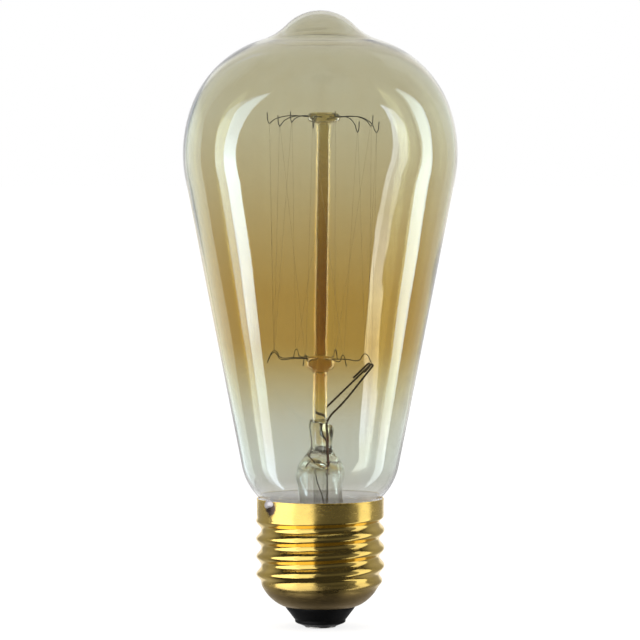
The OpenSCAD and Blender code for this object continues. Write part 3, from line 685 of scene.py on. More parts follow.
def metal(name, colour, roughness, spots, metallic=1.0, grain=900):
    """Bare metal with darker spots, uneven gloss and a fine grain."""
    mat, n = material(name)
    at = n.scaled(n.place()[0], (grain,) * 3)
    patch = n.noise(at, 1.0, 4.0, 0.6)
    return finished(mat, n, n.surface({
        "Base Color": n.mix(n.grey(patch, 0.0, 0.8, 0.45, 0.75), tuple(colour), spots),
        "Metallic": metallic,
        "Roughness": n.grey(n.noise(at, 2.3, 3.0), roughness * 0.7, roughness * 1.35, 0.3, 0.7),
        "Normal": n.bump(patch, 0.15, 0.00004)}))


def cap_brass(c):
    """Rolled and polished brass: fine lines round the cap, browner tarnish in streaks, small
    scuffs, a darker, browner and rougher foot, and a dark patch round and just below the solder."""
    mat, n = material("Polished brass sheet")
    at, height = n.place()
    tenfold = n.times(height, 10.0)
    foot = n.grey(tenfold, 1.0, 0.0, 0.072, 0.102)
    skirt = n.grey(tenfold, 0.0, 1.0, 0.225, 0.235)
    tarnish = n.grey(n.noise(at, 160.0, 5.0, 0.62), 0.0, 0.35, 0.48, 0.72)
    tinted = n.mix(tarnish, tuple(c.brass), (0.46, 0.32, 0.13))
    # the brass is made darker and browner towards the foot, and rougher there below
    tinted = n.mix(n.times(foot, 0.9), tinted, (0.33, 0.23, 0.10))
    # a dark patch on the brass round and just below the solder
    dark_patch = n.distance(at, tuple(v * MM for v in polar(13.0, SOLDER_AT + 3, 25.1)))
    dark_patch = n.plus(dark_patch, n.drift(at, 700.0, 3.0, 0.0014))
    dark_patch = n.grey(n.times(dark_patch, 100.0), 1.0, 0.0, 0.13, 0.19)
    tinted = n.mix(dark_patch, tinted, (0.10, 0.07, 0.06))
    scuffs = n.noise(n.scaled(at, (700, 700, 1500)), 1.0, 6.0, 0.75)
    gloss = n.plus(n.grey(scuffs, 0.08, 0.24, 0.42, 0.68), n.times(foot, 0.32))
    gloss = n.plus(gloss, n.times(skirt, 0.10))
    lines = n.noise(n.scaled(at, (60, 60, 5200)), 1.0, 3.0, 0.7)
    dents = n.noise(n.scaled(at, (230, 230, 150)), 1.0, 2.0)
    uneven = n.plus(n.plus(n.times(lines, 0.5), n.times(scuffs, 0.5)), n.times(dents, 4.0))
    return finished(mat, n, n.surface({
        "Base Color": tinted, "Metallic": 1.0, "Roughness": gloss,
        "Normal": n.bump(uneven, 0.10, 0.00008)}))


def black_glass(c):
    """Poured black glass with a soft gloss and shallow pits."""
    mat, n = material("Black insulator glass")
    at = n.place()[0]
    dust = n.noise(at, 700.0, 5.0, 0.7)
    return finished(mat, n, n.surface({
        "Base Color": n.mix(n.grey(dust, 0.0, 0.35, 0.55, 0.8), tuple(c.black), (0.03, 0.028, 0.026)),
        "Roughness": n.grey(n.noise(at, 320.0, 3.0), 0.35, 0.55, 0.35, 0.65), "IOR": 1.5,
        "Specular IOR Level": 0.1, "Normal": n.bump(n.noise(at, 420.0, 4.0, 0.6), 0.2, 0.0001)}))


def cement_paste():
    """Chalky white capping cement, grainy."""
    mat, n = material("Capping cement")
    grain = n.noise(n.place()[0], 1400.0, 6.0, 0.7)
    return finished(mat, n, n.surface({
        "Base Color": n.mix(n.grey(grain, 0.0, 1.0, 0.35, 0.7), (0.52, 0.54, 0.58), (0.60, 0.62, 0.66)),
        "Roughness": n.grey(grain, 0.75, 0.95, 0.3, 0.7), "Normal": n.bump(grain, 0.5, 0.0002)}))


# Groups of pieces that the lamps shine on

CAP_SLOTS = ("cap_brass", "cement", "insulator_glass", "contact_metal", "solder")
GLASS_GROUP, CAP_GROUP, ROD_GROUP, NECK_GROUP = (
    "Glass pieces", "Cap pieces", "Rod pieces", "Neck pieces")


def lit_group(name):
    """A group of pieces that its own lamps shine on."""
    return bpy.data.collections.get(name) or bpy.data.collections.new(name)


def dress(piece, mat, slot, *nodes):
    """Gives a piece its material, puts it in the group that the lamps for its slot shine on, and ties
    it to the body in place of CAD nodes.
    """
    piece.data.materials.append(mat)
    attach(piece, ROOT)
    lit_group(CAP_GROUP if slot in CAP_SLOTS else GLASS_GROUP).objects.link(piece)
    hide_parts(*nodes)


# Pieces

class LampPiece:
    """What every piece's operator shares."""

    bl_options = {"INTERNAL"}

    def settings(self, context):
        s = context.scene
        return sizes(s.lamp_glass), sizes(s.lamp_mount), sizes(s.lamp_cap), s.lamp_colours


class LAMP_OT_envelope(LampPiece, bpy.types.Operator):
    """Blown glass envelope with its drawn tip."""

    bl_idname = "lamp.envelope"
    bl_label = "Glass envelope"

    def execute(self, context):
        g, _, cap, c = self.settings(context)
        r, wall = g["neck_d"] / 2, g["wall"]
        bottom = cap["height"] - g["neck_depth"]
        outer = glass_line(g, cap, 0, 2)
        inner = glass_line(g, cap, wall, 2)[::-1]
        rim = arc((r - wall / 2, bottom + wall / 2), wall / 2, 0, -180, 8)
        profile = np.concatenate([outer, rim, inner])
        profile[0, 0] = profile[-1, 0] = 0
        steps = np.linalg.norm(np.diff(profile, axis=0), axis=1)
        profile = profile[np.concatenate([[True], steps > 1e-4])]
        dress(turned("glass_envelope", profile, 192), envelope_glass(c), "envelope_glass", "envelope")
        return {"FINISHED"}


class LAMP_OT_stem(LampPiece, bpy.types.Operator):
    """Stem: flare, tube, dome and flattened press in one piece of glass."""

    bl_idname = "lamp.stem"
    bl_label = "Stem"

    # height up the press, then how much of the tube the long and the short side keep
    SHAPE = np.array([
        (0, 1, 1), (0.08, 0.97, 0.96), (0.19, 0.87, 0.84), (0.28, 0.7, 0.67), (0.34, 0.52, 0.47),
        (0.4, 0.28, 0.25), (0.48, 0, 0), (0.55, -0.08, -0.1), (0.68, -0.03, -0.06),
        (0.82, 0.04, 0.05), (0.93, 0.06, 0.08), (0.98, 0, 0.03), (1, -0.2, -0.1)])
    # rise of the dome that closes the tube inside
    DOME_H = 3.0

    def execute(self, context):
        g, _, cap, _ = self.settings(context)
        self.stem(g, cap["height"] - g["neck_depth"])
        self.exhaust(g)
        return {"FINISHED"}

    def stem(self, g, bottom):
        """Rings from the middle of the press's top down its outside, round the flare and up
        inside the tube to the dome. The press's top slants down to the right."""
        flare_h, slant, slant_low, slant_high = 8.5, 0.19, 39.5, 42
        tube_r, tube_in = g["tube_d"] / 2, g["tube_d"] / 2 - g["tube_wall"]
        neck_in = g["neck_d"] / 2 - g["wall"]
        t = np.linspace(0, 2 * np.pi, 96, endpoint=False)
        a = np.radians(np.linspace(0, 90, 16))[:, None]

        def flare(r, z):
            """A quarter oval from the tube out to the neck."""
            rr = r + (neck_in - r) * (1 - np.cos(a))
            zz = z + (bottom + flare_h - z) * (1 - np.sin(a))
            return np.stack([rr * np.cos(t), rr * np.sin(t), zz + 0 * t], -1)

        press = self.press(g, t)
        lid = press[-1] + (press[-1].mean(0) - press[-1]) * np.array([0.25, 0.55, 0.85])[:, None, None]
        lid[..., 2] = g["press_top"] + np.array([0.03, 0.05, 0.05])[:, None]
        e = np.radians(np.linspace(0, 86, 10))[:, None]
        dome = np.stack([tube_in * np.cos(e) * np.cos(t), tube_in * np.cos(e) * np.sin(t),
                         g["dome_z"] + self.DOME_H * np.sin(e) + 0 * t], -1)
        rings = np.concatenate([lid[::-1], press[::-1], flare(tube_r, bottom + g["tube_wall"]),
                                flare(tube_in, bottom)[::-1], dome])
        rings[..., 2] -= slant * rings[..., 0] * step_between(rings[..., 2], slant_low, slant_high)
        piece = ringed("glass_stem", rings, lid[-1].mean(0), (0, 0, g["dome_z"] + self.DOME_H))
        dress(piece, stem_glass(), "stem_glass", "stem")

    def press(self, g, t):
        """Rings that go from the tube's circle to the press's flat oval: the middle part of the
        long side is stretched by the difference of the half sizes a and b."""
        f = np.linspace(0, 1, 40)
        smooth = lambda v: np.convolve(np.pad(v, 2, mode="edge"), np.ones(5) / 5, "valid")
        long, short = (smooth(np.interp(f, self.SHAPE[:, 0], self.SHAPE[:, k])) for k in (1, 2))
        f, long, short = f[:, None], long[:, None], short[:, None]
        tube_r, half_w, half_t = g["tube_d"] / 2, g["press_w"] / 2, g["press_t"] / 2
        a, b = half_w + (tube_r - half_w) * long, half_t + (tube_r - half_t) * short
        x = (a - b) * np.tanh(2.2 * np.cos(t)) / np.tanh(2.2) + b * np.cos(t)
        y = b * np.sin(t)
        shift = PRESS_SHIFT * step_between(f, 0, 0.5)
        z = g["dome_z"] + f * (g["press_top"] - g["dome_z"])
        return np.stack([shift + x * math.cos(PRESS_TURN) - y * math.sin(PRESS_TURN),
                         x * math.sin(PRESS_TURN) + y * math.cos(PRESS_TURN), z + 0 * t], -1)

    def exhaust(self, g):
        """The exhaust tube: its sealed end is half an oval, its top is let into the dome."""
        r, z, end_h = g["exhaust_d"] / 2, g["exhaust_end"], 2.6
        top = g["dome_z"] + self.DOME_H
        low = [(r * math.cos(a), z + end_h * (1 + math.sin(a)))
               for a in np.radians(np.linspace(-90, 0, 12))]
        low[0] = (0, z)
        high = [(r, top - 0.5), (r - 0.1, top - 0.2), (r - 0.35, top - 0.1), (0, top - 0.1)]
        piece = turned("exhaust_tube_glass", low + high, 64)
        dress(piece, thin_tube_glass(), "stem_glass", "exhaust_tube")


class LAMP_OT_rod(LampPiece, bpy.types.Operator):
    """Glass rod with its two buttons, fused into one piece."""

    bl_idname = "lamp.rod"
    bl_label = "Rod and buttons"

    def execute(self, context):
        g, m, _, _ = self.settings(context)
        core, foot, sunk = m["rod_d"] / 2, g["press_top"], 0.1
        low, lh, lr = m["lower_button_z"], m["lower_button_h"], m["lower_button_d"] / 2
        top, uh, ur = m["button_top"], m["upper_button_h"], m["upper_button_d"] / 2
        under = top - uh
        corners = [
            (0, foot - sunk), (core + 0.1, foot - sunk), (core + 0.12, foot + 0.05),
            (core + 0.02, foot + 0.5), (core, foot + 1.2), (core, foot + 5), (core, low - 0.8),
            (core + 0.04, low - 0.1), (core + 0.35, low + 0.1 * lh), (0.78 * lr, low + 0.2 * lh),
            (0.93 * lr, low + 0.3 * lh), (lr, low + 0.43 * lh), (lr, low + 0.56 * lh),
            (0.97 * lr, low + 0.72 * lh), (0.9 * lr, low + 0.86 * lh), (0.76 * lr, low + 0.95 * lh),
            (core + 0.4, low + 0.985 * lh), (core + 0.08, low + lh + 0.1), (core, low + lh + 0.8),
            (core, low + lh + 8), (core, under - 8), (core, under - 0.7), (core + 0.06, under - 0.15),
            (core + 0.4, under + 0.02), (0.75 * ur, under + 0.05 * uh), (0.92 * ur, under + 0.17 * uh),
            (ur, under + 0.42 * uh), (0.99 * ur, under + 0.63 * uh), (0.9 * ur, under + 0.86 * uh),
            (0.72 * ur, under + 0.97 * uh), (0.4 * ur, top), (0, top)]
        line = smooth_path(np.array(corners), 420)
        line[:, 0] = np.maximum(line[:, 0], 0)
        line[:, 1] = np.clip(line[:, 1], foot - sunk, top)
        line[0, 0] = line[-1, 0] = 0

        def uneven(p):
            """The rod leans, and it is a little thicker and thinner along its length."""
            swell = 1 + 0.012 * np.sin(0.31 * p[..., 2] + 1.0) + 0.006 * np.sin(1.7 * p[..., 2])
            return leaning(p * np.stack([swell, swell, np.ones_like(swell)], -1))

        piece = turned("glass_rod", line, 64, uneven)
        dress(piece, rod_glass_painted_amber(), "rod_glass", "arbor_rod", "upper_button", "lower_button")
        lit_group(ROD_GROUP).objects.link(piece)
        return {"FINISHED"}


class LAMP_OT_hooks(LampPiece, bpy.types.Operator):
    """Eight upper and seven lower hooks of fine dark wire."""

    bl_idname = "lamp.hooks"
    bl_label = "Hooks"

    def execute(self, context):
        _, m, _, c = self.settings(context)
        mat = metal("Dark hook wire", c.wire, 0.4, (0.03, 0.024, 0.018), grain=2500)
        r, reach, hold = m["upper_button_d"] / 2, m["upper_reach"], 1.5
        span = reach - r
        for i, (angle, drop) in enumerate(UPPER, 1):
            line = [(r - hold, 0), (r, 0), (r + 0.15 * span, 0.12), (r + 0.35 * span, 0.22),
                    (r + 0.55 * span, 0.12), (r + 0.75 * span, -0.16 * drop),
                    (r + 0.89 * span, -0.48 * drop), (reach - 0.22, 0.22 - drop),
                    (reach, -drop), (reach + 0.16, 0.2 - drop), (reach + 0.5, 2.2 - drop)]
            self.hook(f"hook_upper_{i}", line, angle, upper_arm_z(m), m, mat, f"upper_hook_{i}")
        r, reach, rise = m["lower_button_d"] / 2, m["lower_reach"], LOWER_RISE
        for i, angle in enumerate(LOWER, 1):
            line = [(r - hold, 0), (r, 0), (r + 0.4 * (reach - r), 0.05), (reach - 1.35, 0),
                    (reach - 1.2, 0.06 * rise), (reach - 0.6, 0.76 * rise),
                    (reach - 0.33, 0.95 * rise), (reach, rise), (reach + 0.33, 0.93 * rise),
                    (reach + 0.56, 0.72 * rise), (reach + 1.4, rise - 2.1)]
            self.hook(f"hook_lower_{i}", line, angle, lower_arm_z(m), m, mat, f"lower_hook_{i}")
        return {"FINISHED"}

    def hook(self, name, line, angle, z, m, mat, node):
        """A wire in the upright plane through the rod's axis and the hook's direction; its line
        is given as distance to the axis and height over its arm."""
        a = math.radians(angle)
        flat = smooth_path(np.array(line), 64)
        x, y = flat[:, 0] * math.cos(a), flat[:, 0] * math.sin(a)
        path = leaning(np.stack([x, y, z + flat[:, 1]], 1))
        piece = drawn_wire(name, path, m["hook_d"] / 2, (-math.sin(a), math.cos(a), 0), 10)
        dress(piece, mat, "hook_wire", node)


class LAMP_OT_filament(LampPiece, bpy.types.Operator):
    """Filament: one fine wire that runs zigzag over all the hooks, straight between them and in
    half a turn round each."""

    bl_idname = "lamp.filament"
    bl_label = "Filament"

    def execute(self, context):
        _, m, _, _ = self.settings(context)
        up = [leaning(polar(m["upper_reach"], a, upper_arm_z(m) - d)) for a, d in UPPER]
        down = [leaning(polar(m["lower_reach"], a, lower_arm_z(m) + LOWER_RISE)) for a in LOWER]
        ends = [(line[-2] + line[4]) / 2 for line in (lead_line(m, side, 1) for side in (-1, 1))]
        stops = np.array([ends[0], *(p for pair in zip(up, down) for p in pair), up[-1], ends[1]])
        p, before, after = stops[1:-1], stops[:-2], stops[2:]
        unit = lambda v: v / np.linalg.norm(v, axis=-1, keepdims=True)
        a, b = unit(before - p), unit(after - p)
        inward, across = unit(a + b), unit(a - b)
        r = (m["hook_d"] + m["filament_d"]) / 2
        t = np.radians(np.linspace(0, 180, 7))[:, None, None]
        turns = np.swapaxes(p + r * (np.cos(t) * across - np.sin(t) * inward), 0, 1)
        leave = np.concatenate([stops[:1], turns[:, -1]])
        arrive = np.concatenate([turns[:, 0], stops[-1:]])
        f = np.linspace(0, 1, 10)[1:-1, None]
        strands = [x + f * (y - x) for x, y in zip(leave, arrive)]
        path = [stops[:1], strands[0]]
        for turn, strand in zip(turns, strands[1:]):
            path += [turn, strand]
        path = np.concatenate(path + [stops[-1:]])
        # the leaning axis is this far to the right at half height
        axis_x = 0.4
        outward = path * [1, 1, 0] - np.array([axis_x, 0, 0])
        piece = drawn_wire("filament_wire", path, m["filament_d"] / 2, outward, 6)
        mat = metal("Drawn filament wire", (0.26, 0.21, 0.14), 0.35, (0.16, 0.12, 0.08))
        dress(piece, mat, "filament_wire", "filament")
        return {"FINISHED"}


class LAMP_OT_leads(LampPiece, bpy.types.Operator):
    """Inner leads with folded ends, red-brown seal wires and copper outer leads."""

    bl_idname = "lamp.leads"
    bl_label = "Leads"

    def execute(self, context):
        g, m, cap, c = self.settings(context)
        lead = metal("Dark lead wire", (0.04, 0.03, 0.022), 0.42, (0.02, 0.014, 0.01))
        seal = metal("Seal wire", c.seal, 0.45, (0.05, 0.015, 0.01))
        low, high = WELDS
        bead_w, bead_h = 0.22, 0.14
        z = np.concatenate([np.linspace(*span) for span in (
            (low - 0.35, low + 0.35, 9), (low + 0.5, high - 0.5, 5),
            (high - 0.35, high + 0.35, 9), (high + 0.5, LEAD_START, 8))])
        seal_r = m["lead_d"] / 2 + bead_h * sum(np.exp(-((z - weld) / bead_w)**2) for weld in WELDS)
        for side, fold, name in ((1, 1.9, "front"), (-1, 4.1, "rear")):
            line = lead_line(m, side, fold)
            path = np.concatenate([smooth_path(line[:5], 60), line[5:9], smooth_path(line[8:], 8)[1:]])
            ahead = line[4] - line[3]
            beside = np.cross(np.cross(ahead, [0, 1, 0]), ahead)
            piece = drawn_wire(f"inner_lead_{name}", path, m["lead_d"] / 2, beside, 12)
            dress(piece, lead, "lead_wire", f"lead_{name}")
            x, y = lead_foot(m, side)
            path = np.stack([x + 0 * z, y + 0 * z, z], 1)
            piece = drawn_wire(f"seal_{name}", path, seal_r, (0, 1, 0), 14)
            dress(piece, seal, "seal_wire", f"seal_wire_{name}")
        copper = metal("Copper wire", c.copper, 0.45, (0.08, 0.045, 0.025))
        r = m["outer_lead_d"] / 2
        beside = polar(1, SOLDER_AT + 90, 0)
        piece = drawn_wire("outer_lead_side", self.side_line(g, m, cap), r, beside, 8)
        dress(piece, copper, "outer_wire", "side_wire")
        piece = drawn_wire("outer_lead_centre", self.centre_line(g, m), r, (0, 1, 0.01), 8)
        dress(piece, copper, "outer_wire", "centre_wire")
        return {"FINISHED"}

    def side_line(self, g, m, cap):
        """From the front seal wire down the stem, out under the neck, up between the glass and
        the shell and over the rim to the solder."""
        tube_r, neck_r, skirt_r = g["tube_d"] / 2, g["neck_d"] / 2, cap["skirt_d"] / 2
        bottom, top = cap["height"] - g["neck_depth"], cap["height"] + 0.1
        gap = neck_r + (cap["minor_d"] / 2 - cap["sheet"] - neck_r) / 2
        rim_r = skirt_r - cap["sheet"] - cap["rim_gap"]
        x, y = lead_foot(m, 1)
        at = SOLDER_AT
        return smooth_path(np.array([
            [x, y, WELDS[0]], [x, y, 26.5], [x - 0.02 * tube_r, y - 0.06 * tube_r, 21.5],
            polar(0.55 * neck_r, at + 40, bottom - 1.2), polar(0.88 * neck_r, at + 8, bottom - 1.6),
            polar(gap - 0.1, at + 1, bottom - 1.1), polar(gap, at, bottom + 0.3), polar(gap, at, 23.4),
            polar(gap + 0.1, at, 24.2), polar(rim_r + 0.12, at, cap["height"] - 0.25),
            polar(skirt_r - cap["sheet"] / 2 - 0.05, at, top), polar(skirt_r + 0.12, at, top - 0.15),
            polar(skirt_r + 0.16, at, top - 0.7)]), 150)

    def centre_line(self, g, m):
        """From the rear seal wire down beside the exhaust tube to the centre contact."""
        x, y = lead_foot(m, -1)
        r, e, z = g["tube_d"] / 2, g["exhaust_d"] / 2, WELDS[0]
        fall = z - g["exhaust_end"]
        return smooth_path(np.array([
            [x, y, z], [x + 0.08 * r, y + 0.02 * r, z - 0.09 * fall],
            [x + 0.27 * r, y + 0.06 * r, z - 0.21 * fall], [x + 0.37 * r, y, z - 0.47 * fall],
            [0.8 * e, 1.5 * e, z - 0.79 * fall], [0.3 * e, e, g["exhaust_end"] - e],
            [0, 0.2 * e, 3.6], [0, 0, 2.55], [0, 0, 0.8]]), 90)


class LAMP_OT_cap(LampPiece, bpy.types.Operator):
    """Screw cap: brass shell, cement, black insulator, contact and solder."""

    bl_idname = "lamp.cap"
    bl_label = "Screw cap"

    def execute(self, context):
        g, _, cap, c = self.settings(context)
        solder = metal("Bright solder", (0.80, 0.77, 0.80), 0.46, (0.60, 0.55, 0.60), metallic=0.5)
        self.shell(cap, c)
        self.foot(cap, c, solder)
        self.drip(cap, solder)
        self.cement(g, cap)
        return {"FINISHED"}

    def cement(self, g, cap):
        """The cement between neck and shell, turned: down the shell's inner side, and up along
        the glass to a top just below the rim."""
        neck_r, height = g["neck_d"] / 2, cap["height"]
        depth, clear, taper, top = 8.5, 0.04, 0.3, height - 0.05
        bottom, end = height - depth, height - cap["skirt_h"]
        root_in, skirt_in = (cap[k] / 2 - cap["sheet"] - clear for k in ("minor_d", "skirt_d"))
        glass = glass_line(g, cap, 0.03)
        glass = glass[(glass[:, 1] < top - 0.03) & (glass[:, 1] > bottom)]
        line = np.concatenate([[(neck_r, bottom), (root_in, bottom), (root_in, end - taper),
                                (skirt_in, end + taper), (skirt_in, top)], glass])
        piece = turned("cement_ring", line, 160)
        dress(piece, cement_paste(), "cement", "capping_cement")
        lit_group(NECK_GROUP).objects.link(piece)

    def shell(self, cap, c):
        """The shell's radius is a rounded foot, then the thread's root and at last the skirt,
        plus a cosine wave that climbs one pitch a turn and fades out at both ends."""
        height, root, skirt_r = cap["height"], cap["minor_d"] / 2, cap["skirt_d"] / 2
        amp = (cap["major_d"] - cap["minor_d"]) / 4
        start, pitch, lip_r = cap["start_z"], cap["pitch"], cap["lip_d"] / 2
        end = height - cap["skirt_h"]
        core = lip_r - 0.06 * (root - lip_r)
        span, sheet = start - cap["lip_z"], cap["sheet"]
        # the foot is a quarter of a curve between a line and a circle, and the rim a low bead
        oval, skirt_rise, bead_w, bead_h, bead_z = 1.5, 1.3, 0.2, 0.07, height - 0.22

        def radius(z, a):
            f = np.clip((start + 0.02 * span - z) / (1.03 * span), 0, 1)
            foot = core + (root - core) * (1 - f**oval)**(1 / oval)
            skirt = step_between(z, end - skirt_rise, end)
            rim = np.exp(-((z - bead_z) / bead_w)**2)
            base = foot + (skirt_r - root) * skirt + bead_h * rim
            wave = amp * step_between(z, start - pitch / 3, start + 0.4 * pitch)
            wave = wave * (1 - step_between(z, end - pitch / 3, end))
            dents = 0.012 * np.sin(3 * a + 0.8) * np.cos(0.9 * z) + 0.008 * np.sin(7 * a + 1.3 * z)
            return (base + wave * (1 + np.cos(2 * np.pi * (z - start) / pitch - a))
                    + dents * step_between(z, start - 2, start + 2) * (1 - 0.5 * skirt) - 0.015)

        a = np.linspace(0, 2 * np.pi, 240, endpoint=False)[None, :]
        z = np.concatenate([
            cap["lip_z"] + span * np.linspace(0, 1, 26)[:-1]**1.3,
            np.linspace(start, height - 0.6, 120)[:-1], np.linspace(height - 0.6, height - 0.12, 12)])
        z = z[:, None] + 0 * a
        r = radius(z, a)
        slope_r, slope_z = np.gradient(r, axis=0), np.gradient(z, axis=0)
        size = np.hypot(slope_r, slope_z)
        inner_r, inner_z = r - sheet * slope_z / size, z + sheet * slope_r / size
        join = lambda p, q, s: p * (1 - s) + q * s
        f = np.array([0.25, 0.5, 0.75])[:, None]
        top_z = join(z[-1], inner_z[-1], f) + 0.12 * np.sin(np.pi * f)
        rr = np.concatenate([r, join(r[-1], inner_r[-1], f), inner_r[::-2], join(inner_r[0], r[0], f)])
        zz = np.concatenate([z, top_z, inner_z[::-2], join(inner_z[0], z[0], f)])
        rings = np.stack([rr * np.cos(a), rr * np.sin(a), zz], -1)
        dress(ringed("brass_shell", rings, closed=True), cap_brass(c), "cap_brass", "cap_shell")

    def foot(self, cap, c, solder):
        """Insulator, contact and centre solder, turned."""
        lip = cap["lip_z"]
        outside = [(3.32, 0.25), (3.7, 0.40), (4.3, 0.63), (4.85, 0.86), (5.1, 1.04), (5.18, 1.22),
                   (5.2, 1.5), (5.5, 1.92), (6.4, 3.12), (7.0, 3.9), (7.13, 4.12), (7.14, 4.4)]
        inside = [(7.15, lip + 0.3), (8.1, lip + 0.62), (9.2, lip + 1.35), (10.0, lip + 2.2),
                  (9.6, 6.85), (3.0, 6.9), (1.83, 6.4)]
        profile = np.concatenate([[(1.83, 0.42), (3.24, 0.42)], smooth_path(outside, 60), inside])
        dress(turned("black_insulator", profile, 128), black_glass(c), "insulator_glass", "insulator")
        contact = metal("Plated contact", (0.48, 0.47, 0.45), 0.35, (0.25, 0.24, 0.22))
        ring = np.concatenate([[(1.25, 0.0), (1.32, 0.0), (3.05, 0.0)],
                               arc((3.08, 0.12), 0.12, -80, 0, 5),
                               [(3.2, 0.4), (1.8, 0.4), (1.8, 3.0), (1.25, 3.0)]])
        dress(turned("contact_plate", ring, 96), contact, "contact_metal", "centre_contact")
        dot = [(0, 0.03), (0.5, 0.02), (0.9, 0.0), (1.15, 0.02), (1.25, 0.08), (1.25, 1.6),
               (0.12, 1.6), (0, 1.6)]
        dress(turned("contact_solder", dot, 64), solder, "solder", "centre_solder")

    def drip(self, cap, solder):
        """A drip of solder on the rim: a dome over a plane, stretched into an uneven drop whose
        foot follows the round skirt."""
        half_w, half_h, rise, foot_r = 1.38, 0.9, 0.36, cap["skirt_d"] / 2 + 0.03
        t = np.linspace(0, 2 * np.pi, 72, endpoint=False)[None, :]
        s = np.linspace(1, 0, 22)[:-1, None]
        edge = 1.0 + 0.12 * np.sin(2 * t + 0.6) + 0.08 * np.sin(3 * t + 2.1)
        up = half_h * s * edge * np.sin(t)
        across = half_w * s * edge * np.cos(t) + 0.12 * up
        lift = rise * (1 - s**2) * (1 + 0.3 * np.sin(2.6 * across + 1) * s)
        rings = self.on_skirt(across, up, foot_r + lift, cap)[::-1]
        top = self.on_skirt(0.0, 0.0, foot_r + rise, cap)
        back = self.on_skirt(0.0, 0.0, foot_r - 0.02, cap)
        dress(ringed("rim_solder", rings, top, back), solder, "solder", "side_solder")

    def on_skirt(self, across, up, r, cap):
        """A point at a distance across and up from the joint's middle, wrapped round the cap."""
        below_rim = 0.65
        a = math.radians(SOLDER_AT) + across / (cap["skirt_d"] / 2)
        return np.stack([r * np.cos(a), r * np.sin(a), cap["height"] - below_rim + up], -1)


# Stage

# the picture's side in pixels, its scale in pixels per millimetre, and the point in millimetres
# that its middle shows
PICTURE_SIDE, PICTURE_SCALE = 640, 4.9
LOOKED_AT = (-0.06, 0.0, 62.9)


def aim(obj, target):
    """Turns a lamp or the camera so that its -Z looks at a point."""
    obj.rotation_euler = (Vector(target) - obj.location).to_track_quat("-Z", "Y").to_euler()


def area_lamp(name, wide, high, strength, at, group, target_x=0.0):
    """An upright rectangular lamp that faces the plane y = 0 at its own height and shines on
    one group of pieces. Its energy is its radiance times pi times its area."""
    data = bpy.data.lights.new(name, "AREA")
    data.shape = "RECTANGLE"
    data.size, data.size_y = wide, high
    data.energy = strength * math.pi * data.size * data.size_y
    lamp = bpy.data.objects.new(name, data)
    lamp.location = at
    bpy.context.scene.collection.objects.link(lamp)
    aim(lamp, (target_x, 0, lamp.location.z))
    lamp.light_linking.receiver_collection = lit_group(group)
    return lamp


def lamp_outline(lamp, places, edges, inside):
    """Nodes for a lamp whose outline changes with its height. A ramp up the lamp holds, as red,
    green and blue, where three edges lie across it. Gives the nodes, the value that goes from 0
    to 1 up the lamp, and two masks: between the first two edges and between the last two."""
    lamp.data.use_nodes = True
    n = Nodes(lamp.data.node_tree)
    u, v, _ = n.parts(n.add("ShaderNodeNewGeometry").outputs["Parametric"])
    edge = n.add("ShaderNodeSeparateColor", {0: n.ramp(v, list(zip(places, edges)))}).outputs
    left, split, right = (n.math(inside, u, edge[k]) for k in ("Red", "Green", "Blue"))
    return n, v, n.minus(left, split), n.minus(split, right)


def finish_lamp(n, inputs):
    """Ends a lamp's nodes with its glow."""
    n.add("ShaderNodeOutputLight", {"Surface": n.glow(inputs)})


